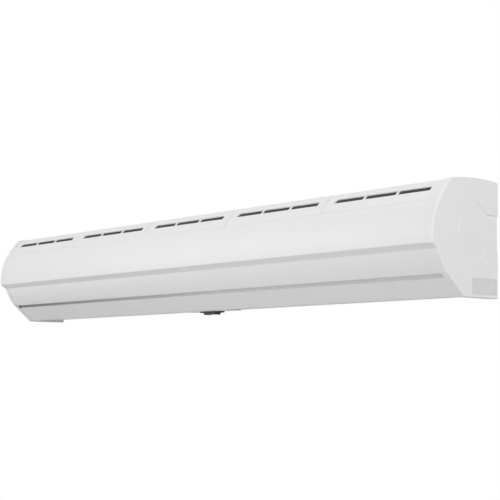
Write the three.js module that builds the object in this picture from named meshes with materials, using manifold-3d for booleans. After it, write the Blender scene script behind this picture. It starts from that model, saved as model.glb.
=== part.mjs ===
// Wall-mounted cross-flow air curtain, 1.5 m long, as an assembly of separate pieces.
// Millimetres. X runs along the length, -Y is the front, +Z is up, the wall is the plane Y = 0.
// Heights are measured from the bottom front edge; the last lines move the origin to the wall plate.
import * as THREE from "three";
import { mergeVertices } from "three/addons/utils/BufferGeometryUtils.js";
import Module from "manifold-3d";

const wasm = await Module();
wasm.setup();

// ---------------------------------------------------------------------------
// Driving dimensions
// ---------------------------------------------------------------------------
const gap = 0.3; // clearance between neighbouring pieces
const overlap = 0.5; // how far joined lumps of one piece reach into each other
const weld = 1e-4; // points nearer than this are one point
const beyond = 5; // how far a cutting tool runs past the face that it cuts
const overallLength = 1500;
const halfLength = overallLength / 2;

// Section of the end caps: depth from the wall, height above the bottom edge.
const section = {
  rearHeight: 222,
  cornerDepth: 138.7,
  cornerHeight: 219,
  crownRadius: 516.8,
  cornerPullDepth: 36.9,
  cornerPullHeight: 37.1,
  nosePullDepth: 3.6,
  nosePullHeight: 47.2,
  noseDepth: 193.5,
  noseHeight: 95.3,
  stepDepth: 177.6,
  stepHeight: 85.6,
  facetRadius: 125,
  grooveTopDepth: 151.7,
  grooveTopHeight: 42.2,
  grooveBottomDepth: 146.8,
  grooveBottomHeight: 38,
  bottomDepth: 101,
};
const cap = { width: 17, proudDepth: 1.5, wall: 2.5, leanDepth: 3, bossRadius: 5, plateGap: 2 };
const capRelief = { planeDepth: 1.2, pocketRadius: 56.3, discRadius: 36.6, channelHalfWidth: 34.5 };
const cover = { wall: 2.5, seamHeight: 178, grooveLip: 8, recessTop: 44, fasciaLip: 16 };
const ledge = { wall: 1.5, reach: 8 };
const grille = { count: 5, slotsPerRow: 3, endMargin: 26.6, rib: 7.5, slotHeight: 9.3 };
const grilleRows = { frontHeight: 202.5, firstDepth: 66, rowSpacing: 18, count: 4, width: 9, cutDepth: 14 };
const filter = { wall: 1, endMargin: 15.6 };
const railDepth = 50; // top flange of the chassis, measured from the wall
const underside = 7; // height of the outlet's lower face above the bottom edge
const sheet = 1.5; // steel sheet of the chassis, plates and air guides

const wallPlate = { thickness: 2, endMargin: 150, height: 110, centreHeight: 155, holeRadius: 4 };
const wallHoles = { endMargin: 120, count: 4, heightSpread: 70 };
const hook = { endMargin: 350, width: 36, height: 14, reach: 6, belowTop: 20 };
const hookSlot = { width: 42, below: 3, above: 4 };

const fan = { depth: 82, height: 123.2, radius: 52, innerGap: 9.2, outerGap: 15 };
const fanRing = { width: 11, wall: 2 };
const blade = { count: 16, length: 10, wall: 1.3, tipLean: 0.16, middleLean: 0.048 };
const hub = { radius: 11, length: 14, web: 2.5, ringCount: 1 };
const shaft = { radius: 5, collarRadius: 8, collarWidth: 3, bearingPlay: 1.5 };
const bearing = { outer: 13, width: 9, bushOuter: 22, bushWidth: 12 };
const bulkhead = { distance: 80.8, holeRadius: 16 };

const motor = { radius: 46, halfLength: 48, bossRadius: 16, bossHalfLength: 66 };
const mount = { ringOuter: 24, ringStart: 54, ringEnd: 65, plateStart: 58, plate: 3 };
const bracket = { discRadius: 34, halfHeight: 25, footLength: 20 };

const scroll = { firstRadius: 57, lastRadius: 71.5, firstTurn: 65, lastTurn: -40, flangeHeight: 179 };
const outlet = { frontDepth: 96, rearDepth: 35, wall: 3.5, topHeight: 40, endWall: 4, neckHeight: 6 };
// The vortex tongue's bend, from the throat of the duct over its tip to the front
const tongue = [
  { depth: 97, height: 58 },
  { depth: 105, height: 71.5 },
  { depth: 111, height: 74 },
  { depth: 117, height: 75 },
  { depth: 130, height: 76 },
];
const louvre = { chord: 22, thickness: 3, spacing: 24, pivotHeight: 24, pinRadius: 2 };
// Blade section of a louvre, in shares of half its thickness and half its chord
const louvreSection = [[0, 1], [0.7, 0.5], [1, 0], [0.7, -0.5], [0, -1], [-0.7, -0.5], [-1, 0], [-0.7, 0.5]];
const crank = { height: 8, radius: 1.2, linkWall: 1.8, linkHalfWidth: 3, sideGap: 0.4 };

const panel = { low: 1, wall: 3, shelfDepth: 62, shelfWall: 2 };
const rocker = { length: 41, width: 18, bottomHeight: -7, topHeight: 5, pivotHeight: 2 };
const rockerPin = { radius: 1.5, length: 1.7 };
const switchBox = { depth: 80, flangeLength: 61, flangeWidth: 26, flangeLow: -2.2, top: 24, wall: 1.8 };
const switchCavityTop = 10;

const capacitor = { radius: 15, length: 60, offset: 40, depth: 49, clipWidth: 12, clipWall: 1.2 };
const terminal = { length: 50, offset: 35, depth: 49, width: 18, height: 13, poles: 4, notch: 8, sink: 5 };
const lead = { radius: 2.5, fromEnd: 10 };
// Where the leads run between their ends
const motorRun = { drop: 8, bend: { depth: 60, height: 50 }, aboveBlock: 34 };
const switchRun = {
  startOffset: 8,
  rise: 7,
  firstBend: { offset: 26, depth: 77, height: 38 },
  secondBend: { beforeEnd: 6, depth: 62, height: 38 },
  aboveBlock: 31,
};
const grommet = { bore: 6, groove: 9, flange: 13, flangeWall: 1.5, depth: 25, fromEnd: 60 };
const screw = { radius: 1.9, head: 4, headHeight: 2, length: 14, tipGap: 1.2 };
const upperScrew = { depth: 120, height: 190 };
const lowerScrew = { depth: 20, height: 30 };
const ratingPlate = { nearDepth: 6, farDepth: 79, lowHeight: 6.5, highHeight: 36.5, wall: 0.7, sunk: 0.2 };

// Number of flats on round things, and of steps along curved sheets
const flats = { fine: 32, medium: 20, small: 8 };
const steps = { crown: 8, front: 14, facet: 5, cover: 11, grilleCrown: 5, grilleFront: 6, scroll: 12 };
const ledgeSteps = 2;
const filterSteps = { crown: 4, front: 5 };
const linkEndSteps = 8;
const rockerEndSteps = 5;
const tongueSeat = 3; // point of the stepped-down facet that the tongue's front edge meets
const leadSteps = 18;
const halvings = 40; // rounds of the search for a height on the front curve

// ---------------------------------------------------------------------------
// Shapes and solids
// ---------------------------------------------------------------------------
const at = (depth, height) => new THREE.Vector2(-depth, height);
const average = (a, b) => (a + b) / 2;
const aboutMiddle = (middle, width) => [middle - width / 2, middle + width / 2];
const onCircle = (angle, radius) =>
  new THREE.Vector2(Math.cos(angle), Math.sin(angle)).multiplyScalar(radius);

function solidOf(geometry) {
  const bare = new THREE.BufferGeometry();
  bare.setAttribute("position", geometry.getAttribute("position"));
  if (geometry.index) bare.setIndex(geometry.index);
  const merged = mergeVertices(bare, weld);
  const kept = [];
  for (let i = 0; i < merged.index.count; i += 3) {
    const corners = [0, 1, 2].map((k) => merged.index.getX(i + k));
    if (new Set(corners).size === 3) kept.push(...corners);
  }
  const vertProperties = new Float32Array(merged.getAttribute("position").array);
  return new wasm.Manifold(new wasm.Mesh({ numProp: 3, vertProperties, triVerts: new Uint32Array(kept) }));
}

function geometryOf(solid) {
  const mesh = solid.getMesh();
  const geometry = new THREE.BufferGeometry();
  geometry.setAttribute("position", new THREE.BufferAttribute(new Float32Array(mesh.vertProperties), 3));
  geometry.setIndex(Array.from(mesh.triVerts));
  return geometry;
}

const join = (...pieces) => geometryOf(pieces.map(solidOf).reduce((a, b) => a.add(b)));
const cut = (body, ...tools) =>
  geometryOf(tools.map(solidOf).reduce((rest, tool) => rest.subtract(tool), solidOf(body)));

// The same piece on the other end of the unit
function mirrored(geometry) {
  const twin = geometry.index ? geometry.toNonIndexed() : geometry.clone();
  const position = twin.getAttribute("position");
  for (let i = 0; i < position.count; i += 3) {
    const corners = [0, 2, 1].map((k) => [position.getX(i + k), position.getY(i + k), position.getZ(i + k)]);
    corners.forEach(([x, y, z], k) => position.setXYZ(i + k, -x, y, z));
  }
  const bare = new THREE.BufferGeometry();
  bare.setAttribute("position", position);
  return bare;
}

function box(x, y, z) {
  const geometry = new THREE.BoxGeometry(x[1] - x[0], y[1] - y[0], z[1] - z[0]);
  return geometry.translate(average(...x), average(...y), average(...z));
}

// A section drawn in depth and height, extruded along the length
const alongLength = new THREE.Matrix4().makeBasis(
  new THREE.Vector3(0, 1, 0),
  new THREE.Vector3(0, 0, 1),
  new THREE.Vector3(1, 0, 0),
);
function bar(points, from, to) {
  const settings = { depth: to - from, bevelEnabled: false };
  const geometry = new THREE.ExtrudeGeometry(new THREE.Shape(points), settings);
  return geometry.applyMatrix4(alongLength).translate(from, 0, 0);
}

function rod(radius, from, to, sides, depth = 0, height = 0) {
  const geometry = new THREE.CylinderGeometry(radius, radius, to - from, sides);
  return geometry.rotateZ(-Math.PI / 2).translate(average(from, to), -depth, height);
}

// A profile of [radius, position] pairs turned about the X axis
function turned(profile, sides) {
  const points = profile.map(([radius, position]) => new THREE.Vector2(radius, position));
  return new THREE.LatheGeometry(points, sides).rotateZ(-Math.PI / 2);
}

function ring(inner, outer, from, to, sides) {
  const profile = [[inner, from], [outer, from], [outer, to], [inner, to], [inner, from]];
  return turned(profile, sides);
}

// Moves a path to its left by a distance, with mitred corners
function offsetPath(path, distance, closed = false) {
  const count = path.length;
  return path.map((point, i) => {
    const before = path[closed ? (i + count - 1) % count : Math.max(i - 1, 0)];
    const after = path[closed ? (i + 1) % count : Math.min(i + 1, count - 1)];
    const arriving = point.clone().sub(before).normalize();
    const leaving = after.clone().sub(point).normalize();
    const first = arriving.lengthSq() ? arriving : leaving;
    const second = leaving.lengthSq() ? leaving : arriving;
    const normal = new THREE.Vector2(-first.y, first.x);
    const mitre = normal.clone().add(new THREE.Vector2(-second.y, second.x)).normalize();
    return point.clone().addScaledVector(mitre, distance / mitre.dot(normal));
  });
}

// The strip between two offsets of a path
const strip = (path, near, far) => [...offsetPath(path, near), ...offsetPath(path, far).reverse()];

function tubeAlong(points, radius) {
  const path = new THREE.CatmullRomCurve3(points.map((p) => new THREE.Vector3(...p)));
  const circle = new THREE.Shape();
  for (let i = 0; i < flats.small; i += 1) {
    const angle = (2 * Math.PI * i) / flats.small;
    const spot = [radius * Math.cos(angle), radius * Math.sin(angle)];
    if (i === 0) circle.moveTo(...spot);
    else circle.lineTo(...spot);
  }
  return new THREE.ExtrudeGeometry(circle, { steps: leadSteps, bevelEnabled: false, extrudePath: path });
}

// ---------------------------------------------------------------------------
// The outline: over the crown from the wall, down the front, back along the bottom
// ---------------------------------------------------------------------------
const corner = at(section.cornerDepth, section.cornerHeight);
const nose = at(section.noseDepth, section.noseHeight);
const step = at(section.stepDepth, section.stepHeight);
const grooveTop = at(section.grooveTopDepth, section.grooveTopHeight);
const grooveBottom = at(section.grooveBottomDepth, section.grooveBottomHeight);
const bottomFront = at(section.bottomDepth, 0);
const fanAxis = at(fan.depth, fan.height);

// Centre of an arc that bulges to the right of the way from one point to another
function arcCentre(from, to, radius) {
  const half = to.clone().sub(from).multiplyScalar(0.5);
  const rise = Math.sqrt(radius ** 2 - half.lengthSq());
  const left = new THREE.Vector2(-half.y, half.x).normalize();
  return from.clone().add(half).addScaledVector(left, rise);
}

const crownCentre = arcCentre(at(0, section.rearHeight), corner, section.crownRadius);
function crownPoint(depth) {
  const aside = -depth - crownCentre.x;
  return at(depth, crownCentre.y + Math.sqrt(section.crownRadius ** 2 - aside ** 2));
}
function crown(fromDepth, toDepth, count) {
  const stride = (toDepth - fromDepth) / count;
  return Array.from({ length: count + 1 }, (_, i) => crownPoint(fromDepth + stride * i));
}

const frontCurve = new THREE.CubicBezierCurve(
  corner,
  corner.clone().sub(new THREE.Vector2(section.cornerPullDepth, section.cornerPullHeight)),
  nose.clone().add(new THREE.Vector2(-section.nosePullDepth, section.nosePullHeight)),
  nose,
);
function frontShare(height) {
  let low = 0;
  let high = 1;
  for (let i = 0; i < halvings; i += 1) {
    const middle = average(low, high);
    if (frontCurve.getPoint(middle).y > height) low = middle;
    else high = middle;
  }
  return average(low, high);
}
function front(fromHeight, toHeight, count) {
  const from = frontShare(fromHeight);
  const stride = (frontShare(toHeight) - from) / count;
  return Array.from({ length: count + 1 }, (_, i) => frontCurve.getPoint(from + stride * i));
}

const facetCentre = arcCentre(step, grooveTop, section.facetRadius);
function facet() {
  const from = step.clone().sub(facetCentre).angle();
  const to = grooveTop.clone().sub(facetCentre).angle();
  const turn = (i) => from + ((to - from) * i) / steps.facet;
  return Array.from({ length: steps.facet + 1 }, (_, i) =>
    onCircle(turn(i), section.facetRadius).add(facetCentre));
}

const outline = [
  ...crown(0, section.cornerDepth, steps.crown).slice(0, -1),
  ...front(section.cornerHeight, section.noseHeight, steps.front),
  ...facet(),
  grooveBottom,
  bottomFront,
  at(0, 0),
];

const coverInner = cap.proudDepth + cover.wall;
const capStart = halfLength - cap.width;
const coverEnd = capStart - gap;
const endPlateOuter = capStart - cap.plateGap;
const chassisFront = wallPlate.thickness + gap + sheet;
const plateBottom = underside + sheet + gap;

// ---------------------------------------------------------------------------
// Casing
// ---------------------------------------------------------------------------
// The end face leans in towards the nose, so tools for it are drawn upright and turned
const leanAngle = Math.atan(cap.leanDepth / section.noseDepth);
const onEndFace = (geometry) => geometry.rotateZ(-leanAngle).translate(halfLength, 0, 0);

function endCap(withRatingPlate) {
  const reliefPlane = halfLength - capRelief.planeDepth;
  const cavityEnd = halfLength - cap.leanDepth - cap.wall;
  const tall = section.rearHeight + beyond;
  const outer = bar(outline, capStart, halfLength);
  const slope = onEndFace(box([0, cap.width], [-tall, tall], [-tall, 2 * tall]));
  const cavity = bar(offsetPath(outline, cap.wall, true), capStart - beyond, cavityEnd);
  const { pocketRadius, discRadius } = capRelief;
  const pocket = rod(pocketRadius, reliefPlane, halfLength + beyond, flats.fine, fan.depth, fan.height);
  const channelHeights = [fan.height - capRelief.channelHalfWidth, fan.height + capRelief.channelHalfWidth];
  const channel = box([reliefPlane, halfLength + beyond], [-fan.depth, beyond], channelHeights);
  const disc = rod(discRadius, cavityEnd - overlap, reliefPlane, flats.fine, fan.depth, fan.height);
  const bosses = [upperScrew, lowerScrew].map(({ depth, height }) =>
    rod(cap.bossRadius, endPlateOuter + gap, cavityEnd + overlap, flats.small, depth, height));
  const pilots = [upperScrew, lowerScrew].map(({ depth, height }) =>
    rod(screw.radius + gap, endPlateOuter, endPlateOuter + screw.length - gap, flats.small, depth, height));
  const shell = join(cut(outer, slope, cavity, pocket, channel), disc, ...bosses);
  const recess = onEndFace(box(
    [-ratingPlate.sunk - ratingPlate.wall - gap, beyond],
    [-ratingPlate.farDepth - gap, -ratingPlate.nearDepth + gap],
    [ratingPlate.lowHeight - gap, ratingPlate.highHeight + gap],
  ));
  return cut(shell, ...pilots, ...(withRatingPlate ? [recess] : []));
}

function ratingPlateBody() {
  const { nearDepth, farDepth, lowHeight, highHeight, wall, sunk } = ratingPlate;
  return onEndFace(box([-sunk - wall, -sunk], [-farDepth, -nearDepth], [lowHeight, highHeight]));
}

// Ledge behind the covers, under the lower edge of the grilles
function frontCover() {
  const lip = grooveTop.clone().add(new THREE.Vector2(cover.grooveLip, 0));
  const path = [...front(cover.seamHeight, section.noseHeight, steps.cover), ...facet(), lip];
  const skin = bar(strip(path, cap.proudDepth, coverInner), -coverEnd, coverEnd);
  const below = front(cover.seamHeight, cover.seamHeight - ledge.reach, 1);
  const above = front(cover.seamHeight + ledge.reach, cover.seamHeight - overlap, ledgeSteps);
  const ledgeInner = coverInner + gap + ledge.wall;
  const root = bar(strip(below, coverInner - overlap, ledgeInner), -coverEnd, coverEnd);
  const shelf = bar(strip(above, coverInner + gap, ledgeInner), -coverEnd, coverEnd);
  return join(skin, root, shelf);
}

function outletFascia() {
  const lipLine = -outlet.frontDepth - gap + cap.proudDepth;
  const path = [
    new THREE.Vector2(grooveBottom.x, cover.recessTop - gap),
    grooveBottom,
    bottomFront,
    new THREE.Vector2(lipLine, 0),
    new THREE.Vector2(lipLine, cover.fasciaLip),
  ];
  return bar(strip(path, cap.proudDepth, coverInner), -coverEnd, coverEnd);
}

const grillePitch = (2 * capStart) / grille.count;
const grilleCentres = Array.from({ length: grille.count }, (_, i) =>
  (i - (grille.count - 1) / 2) * grillePitch);
const slotStride = (grillePitch - 2 * grille.endMargin + grille.rib) / grille.slotsPerRow;
const slotLength = slotStride - grille.rib;
const slotCentres = Array.from({ length: grille.slotsPerRow }, (_, i) =>
  (i - (grille.slotsPerRow - 1) / 2) * slotStride);

function frontSlot(centre) {
  const share = frontShare(grilleRows.frontHeight);
  const spot = frontCurve.getPoint(share);
  const down = frontCurve.getTangent(share);
  const tool = new THREE.BoxGeometry(slotLength, grilleRows.cutDepth, grille.slotHeight);
  return tool.rotateX(Math.atan2(down.x, -down.y)).translate(centre, spot.x, spot.y);
}
function topSlot(centre, row) {
  const spot = crownPoint(grilleRows.firstDepth + row * grilleRows.rowSpacing);
  const tool = new THREE.BoxGeometry(slotLength, grilleRows.width, grilleRows.cutDepth);
  return tool.translate(centre, spot.x, spot.y);
}
function intakeGrille() {
  const path = [
    ...crown(railDepth + gap, section.cornerDepth, steps.grilleCrown).slice(0, -1),
    ...front(section.cornerHeight, cover.seamHeight + gap, steps.grilleFront),
  ];
  const half = grillePitch / 2 - gap;
  const skin = bar(strip(path, cap.proudDepth, coverInner), -half, half);
  const rows = Array.from({ length: grilleRows.count }, (_, row) => row);
  const tools = slotCentres.flatMap((x) => [frontSlot(x), ...rows.map((row) => topSlot(x, row))]);
  return cut(skin, ...tools);
}

const filterNear = coverInner + gap;
function dustFilter() {
  const path = [
    ...crown(railDepth + ledge.reach + 2 * gap, section.cornerDepth, filterSteps.crown).slice(0, -1),
    ...front(section.cornerHeight, cover.seamHeight + ledge.reach + 2 * gap, filterSteps.front),
  ];
  const half = grillePitch / 2 - filter.endMargin;
  return bar(strip(path, filterNear, filterNear + filter.wall), -half, half);
}

// ---------------------------------------------------------------------------
// Steelwork
// ---------------------------------------------------------------------------
const hookOffset = halfLength - hook.endMargin;
const hookBase = wallPlate.centreHeight + wallPlate.height / 2 - hook.belowTop;
function wallMountingPlate() {
  const { thickness, endMargin, height, centreHeight, holeRadius } = wallPlate;
  const half = halfLength - endMargin;
  const plate = box([-half, half], [-thickness, 0], [centreHeight - height / 2, centreHeight + height / 2]);
  const hooks = [-1, 1].flatMap((side) => {
    const x = [side * hookOffset - hook.width / 2, side * hookOffset + hook.width / 2];
    const tab = box(x, [-thickness - hook.reach, -overlap], [hookBase, hookBase + sheet]);
    const tongueUp = box(x, [-thickness - hook.reach, -thickness - hook.reach + sheet],
      [hookBase, hookBase + hook.height]);
    return [tab, tongueUp];
  });
  const holeStride = (2 * (half - wallHoles.endMargin)) / (wallHoles.count - 1);
  const holes = [];
  for (let i = 0; i < wallHoles.count; i += 1) {
    for (const side of [-1, 1]) {
      const x = (i - (wallHoles.count - 1) / 2) * holeStride;
      const hole = new THREE.CylinderGeometry(holeRadius, holeRadius, beyond * 2, flats.small);
      holes.push(hole.translate(x, 0, centreHeight + (side * wallHoles.heightSpread) / 2));
    }
  }
  return cut(join(plate, ...hooks), ...holes);
}

const grommetOffset = halfLength - grommet.fromEnd;
const grommetSpot = crownPoint(grommet.depth);
const grommetTilt = -Math.asin((grommetSpot.x - crownCentre.x) / section.crownRadius);
const sheetMiddle = cap.proudDepth + sheet / 2;
const grommetPlace = grommetSpot.clone().sub(
  new THREE.Vector2(-Math.sin(grommetTilt), Math.cos(grommetTilt)).multiplyScalar(sheetMiddle));

function rearChassis() {
  const back = -wallPlate.thickness - gap;
  const roof = offsetPath(crown(-back, railDepth, 4), cap.proudDepth);
  roof[0].x = back;
  const path = [at(outlet.rearDepth - gap, underside), new THREE.Vector2(back, underside), ...roof];
  const skin = bar(strip(path, 0, sheet), -coverEnd, coverEnd);
  const ledgeInner = coverInner + gap + ledge.wall;
  const under = crown(railDepth - ledge.reach - gap, railDepth, 1);
  const shelf = crown(railDepth - overlap, railDepth + ledge.reach, 1);
  const rail = bar(strip(under, cap.proudDepth + sheet - overlap, ledgeInner), -coverEnd, coverEnd);
  const lip = bar(strip(shelf, coverInner + gap, ledgeInner), -coverEnd, coverEnd);
  const slots = [-hookOffset, hookOffset].map((middle) => {
    const heights = [hookBase - hookSlot.below, hookBase + hook.height + hookSlot.above];
    return box([middle - hookSlot.width / 2, middle + hookSlot.width / 2], [back - beyond, 0], heights);
  });
  const cableRadius = grommet.groove + gap;
  const cable = new THREE.CylinderGeometry(cableRadius, cableRadius, beyond * 2, flats.medium);
  cable.rotateX(Math.PI / 2 + grommetTilt).translate(grommetOffset, grommetPlace.x, grommetPlace.y);
  return cut(join(skin, rail, lip), ...slots, cable);
}

// A sheet across the inside of the casing, cut clear of the grilles, ledges and folded lips
function crossPlate(from, to, holes) {
  const x = [from - beyond, to + beyond];
  const above = [
    ...crown(-beyond, section.cornerDepth, steps.grilleCrown).slice(0, -1),
    ...front(section.cornerHeight, cover.seamHeight - ledge.reach - gap, steps.grilleFront),
  ];
  const plate = bar(offsetPath(outline, coverInner + gap, true), from, to);
  const clearance = bar(strip(above, 0, coverInner + ledge.wall + 2 * gap), ...x);
  const below = box(x, [-section.noseDepth, beyond], [-beyond, plateBottom]);
  const behind = box(x, [-chassisFront - gap, beyond], [-beyond, section.rearHeight]);
  const recess = box(x, [-section.stepDepth, grooveBottom.x + coverInner + gap],
    [grooveBottom.y - beyond, grooveTop.y + coverInner + gap]);
  const fasciaLip = box(x, [-section.grooveTopDepth, -outlet.frontDepth], [-beyond, cover.fasciaLip + gap]);
  return cut(plate, clearance, below, behind, recess, fasciaLip, ...holes);
}

function endPlate() {
  const from = endPlateOuter - sheet;
  const ends = [from - beyond, endPlateOuter + beyond];
  const fanHole = rod(bearing.bushOuter + gap, ...ends, flats.medium, fan.depth, fan.height);
  const screwHoles = [upperScrew, lowerScrew].map(({ depth, height }) =>
    rod(screw.radius + gap, ...ends, flats.small, depth, height));
  return crossPlate(from, endPlateOuter, [fanHole, ...screwHoles]);
}

function bulkheadPlate() {
  const { distance, holeRadius } = bulkhead;
  const from = distance - sheet;
  const hole = rod(holeRadius, from - beyond, distance + beyond, flats.medium, fan.depth, fan.height);
  return crossPlate(from, distance, [hole]);
}

const guideStart = bulkhead.distance + gap;
const guideEnd = endPlateOuter - sheet - gap;

// The end of an air guide, down its side of the duct
const { topHeight, neckHeight } = outlet;
const ductMouth = (depth) => [at(depth, topHeight + neckHeight), at(depth, topHeight + gap)];

// Rear wall of the fan housing: its radius grows from the intake to the outlet
function scrollGuide() {
  const { firstRadius, lastRadius, firstTurn, lastTurn } = scroll;
  const spiral = Array.from({ length: steps.scroll + 1 }, (_, i) => {
    const share = i / steps.scroll;
    const radius = firstRadius + (lastRadius - firstRadius) * share;
    const angle = THREE.MathUtils.degToRad(firstTurn + (lastTurn - firstTurn) * share);
    return onCircle(angle, radius).add(fanAxis);
  });
  const flange = new THREE.Vector2(-chassisFront - gap, scroll.flangeHeight);
  const path = [flange, ...spiral, ...ductMouth(outlet.rearDepth + outlet.wall)];
  return bar(strip(path, 0, sheet), guideStart, guideEnd);
}

// Front wall of the fan housing: its tip parts the intake from the outlet
function vortexTongue() {
  const seat = offsetPath(facet(), coverInner + gap)[tongueSeat];
  const bend = tongue.map(({ depth, height }) => at(depth, height)).reverse();
  const path = [seat, ...bend, ...ductMouth(outlet.frontDepth - outlet.wall)];
  return bar(strip(path, -sheet, 0), guideStart, guideEnd);
}

// ---------------------------------------------------------------------------
// Outlet and louvres
// ---------------------------------------------------------------------------
const outletMiddle = average(outlet.frontDepth, outlet.rearDepth);
const louvreDepths = { front: outletMiddle + louvre.spacing / 2, rear: outletMiddle - louvre.spacing / 2 };
const bayStart = guideStart + outlet.endWall;
const bayEnd = guideEnd - outlet.endWall;
const bladeStart = bayStart + crank.linkWall + 2 * crank.sideGap;
const bladeEnd = bayEnd - crank.sideGap;

function outletFrame() {
  const { frontDepth, rearDepth, wall } = outlet;
  const body = box([guideStart, guideEnd], [-frontDepth, -rearDepth], [underside, topHeight]);
  const duct = box([bayStart, bayEnd], [-frontDepth + wall, -rearDepth - wall],
    [underside - beyond, topHeight + beyond]);
  const pinHole = louvre.pinRadius + gap;
  const holes = Object.values(louvreDepths).flatMap((depth) => [
    rod(pinHole, guideStart - beyond, bayStart + overlap, flats.small, depth, louvre.pivotHeight),
    rod(pinHole, bayEnd - overlap, guideEnd + beyond, flats.small, depth, louvre.pivotHeight),
  ]);
  return cut(body, duct, ...holes);
}

// Drawn about its own pivot: the blade, a pin at each end and the crank pin for the link
function louvreBlade() {
  const points = louvreSection.map(([across, along]) =>
    new THREE.Vector2((across * louvre.thickness) / 2, (along * louvre.chord) / 2));
  return join(
    bar(points, bladeStart, bladeEnd),
    rod(louvre.pinRadius, guideStart + gap, bladeStart + overlap, flats.small),
    rod(louvre.pinRadius, bladeEnd - overlap, guideEnd - gap, flats.small),
    rod(crank.radius, bayStart + crank.sideGap, bladeStart + overlap, flats.small, 0, crank.height),
  );
}

// Drawn about the front crank pin; the rear crank pin lies one louvre spacing behind it
function louvreLink() {
  const from = bayStart + crank.sideGap;
  const to = from + crank.linkWall;
  const bow = (side) => Array.from({ length: linkEndSteps + 1 }, (_, i) => {
    const angle = (side * Math.PI) / 2 + (i * Math.PI) / linkEndSteps;
    return onCircle(angle, crank.linkHalfWidth);
  });
  const ahead = bow(1);
  const behind = bow(-1).map((p) => p.add(new THREE.Vector2(louvre.spacing, 0)));
  const holes = [0, -louvre.spacing].map((depth) =>
    rod(crank.radius + gap, from - beyond, to + beyond, flats.small, depth));
  return cut(bar([...ahead, ...behind], from, to), ...holes);
}

// ---------------------------------------------------------------------------
// Fan: motor in the middle, a wheel on each side
// ---------------------------------------------------------------------------
const fanStart = bulkhead.distance + fan.innerGap;
const fanEnd = endPlateOuter - fan.outerGap;

function bladeSection(turn) {
  const { length, wall, tipLean, middleLean } = blade;
  const radii = [fan.radius - length, fan.radius - length / 2, fan.radius - overlap];
  const leans = [0, middleLean, tipLean];
  const side = (shift) => radii.map((radius, i) => {
    return onCircle(turn + leans[i] + shift / radius, radius);
  });
  return [...side(-wall / 2), ...side(wall / 2).reverse()];
}

// Drawn about the fan's axis
function fanWheel() {
  const { radius } = fan;
  const bore = shaft.radius + gap;
  const ends = [[fanStart, 1], [fanEnd, -1]].flatMap(([x, way]) => {
    const web = [x, x + way * hub.web].sort((a, b) => a - b);
    const boss = [x, x + way * hub.length].sort((a, b) => a - b);
    return [ring(bore, radius, ...web, flats.fine), ring(bore, hub.radius, ...boss, flats.medium)];
  });
  const bay = (fanEnd - fanStart) / (hub.ringCount + 1);
  const rings = Array.from({ length: hub.ringCount }, (_, i) => {
    const middle = fanStart + bay * (i + 1);
    return ring(radius - fanRing.width, radius, ...aboutMiddle(middle, fanRing.wall), flats.fine);
  });
  const blades = Array.from({ length: blade.count }, (_, i) =>
    bar(bladeSection((2 * Math.PI * i) / blade.count), fanStart + overlap, fanEnd - overlap));
  return join(...ends, ...rings, ...blades);
}

const motorShaft = () => rod(shaft.radius, -fanStart - hub.length, fanStart + hub.length, flats.medium);

function endShaft() {
  const collarStart = fanEnd + shaft.bearingPlay / 2;
  return join(
    rod(shaft.radius, fanEnd - hub.length, endPlateOuter + bearing.bushWidth / 2, flats.medium),
    rod(shaft.collarRadius, collarStart, collarStart + shaft.collarWidth, flats.medium),
  );
}

const bearingMiddle = endPlateOuter - sheet / 2;
const centredOnPlate = (inner, outer, width) =>
  ring(inner, outer, bearingMiddle - width / 2, bearingMiddle + width / 2, flats.medium);
const ballBearing = () => centredOnPlate(shaft.radius + gap, bearing.outer, bearing.width);
const bearingBush = () => centredOnPlate(bearing.outer + gap, bearing.bushOuter, bearing.bushWidth);

function motorHousing() {
  const { radius, halfLength: motorHalf, bossRadius, bossHalfLength } = motor;
  return join(
    ring(shaft.radius + gap, radius, -motorHalf, motorHalf, flats.fine),
    ring(shaft.radius + gap, bossRadius, -bossHalfLength, bossHalfLength, flats.medium),
  );
}
const rubberRing = () =>
  ring(motor.bossRadius + gap, mount.ringOuter, mount.ringStart, mount.ringEnd, flats.medium);

function motorBracket() {
  const { plateStart, plate } = mount;
  const rear = -chassisFront - gap;
  const heights = [fan.height - bracket.halfHeight, fan.height + bracket.halfHeight];
  const arm = box([plateStart, plateStart + plate], [-fan.depth, rear], heights);
  const foot = box([plateStart, plateStart + bracket.footLength], [rear - plate, rear], heights);
  const disc = rod(bracket.discRadius, plateStart, plateStart + plate, flats.medium, fan.depth, fan.height);
  const hole = rod(mount.ringOuter + gap, 0, bulkhead.distance, flats.medium, fan.depth, fan.height);
  return cut(join(arm, foot, disc), hole);
}

// ---------------------------------------------------------------------------
// Controls
// ---------------------------------------------------------------------------
const switchHalf = rocker.length / 2 + gap;
const switchBody = { x: switchHalf + switchBox.wall, y: rocker.width / 2 + gap + switchBox.wall };

function controlPanel() {
  const { low, wall, shelfDepth, shelfWall } = panel;
  const x = [-bulkhead.distance, bulkhead.distance];
  const lowPlate = box(x, [-outlet.frontDepth, -shelfDepth], [low, low + wall]);
  const riser = box(x, [-shelfDepth - shelfWall, -shelfDepth], [low, underside]);
  const shelf = box(x, [-shelfDepth - overlap, -outlet.rearDepth], [underside - shelfWall, underside]);
  const window = box(
    [-switchBody.x - gap, switchBody.x + gap],
    [-switchBox.depth - switchBody.y - gap, -switchBox.depth + switchBody.y + gap],
    [-beyond, underside + beyond],
  );
  return cut(join(lowPlate, riser, shelf), window);
}

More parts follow.
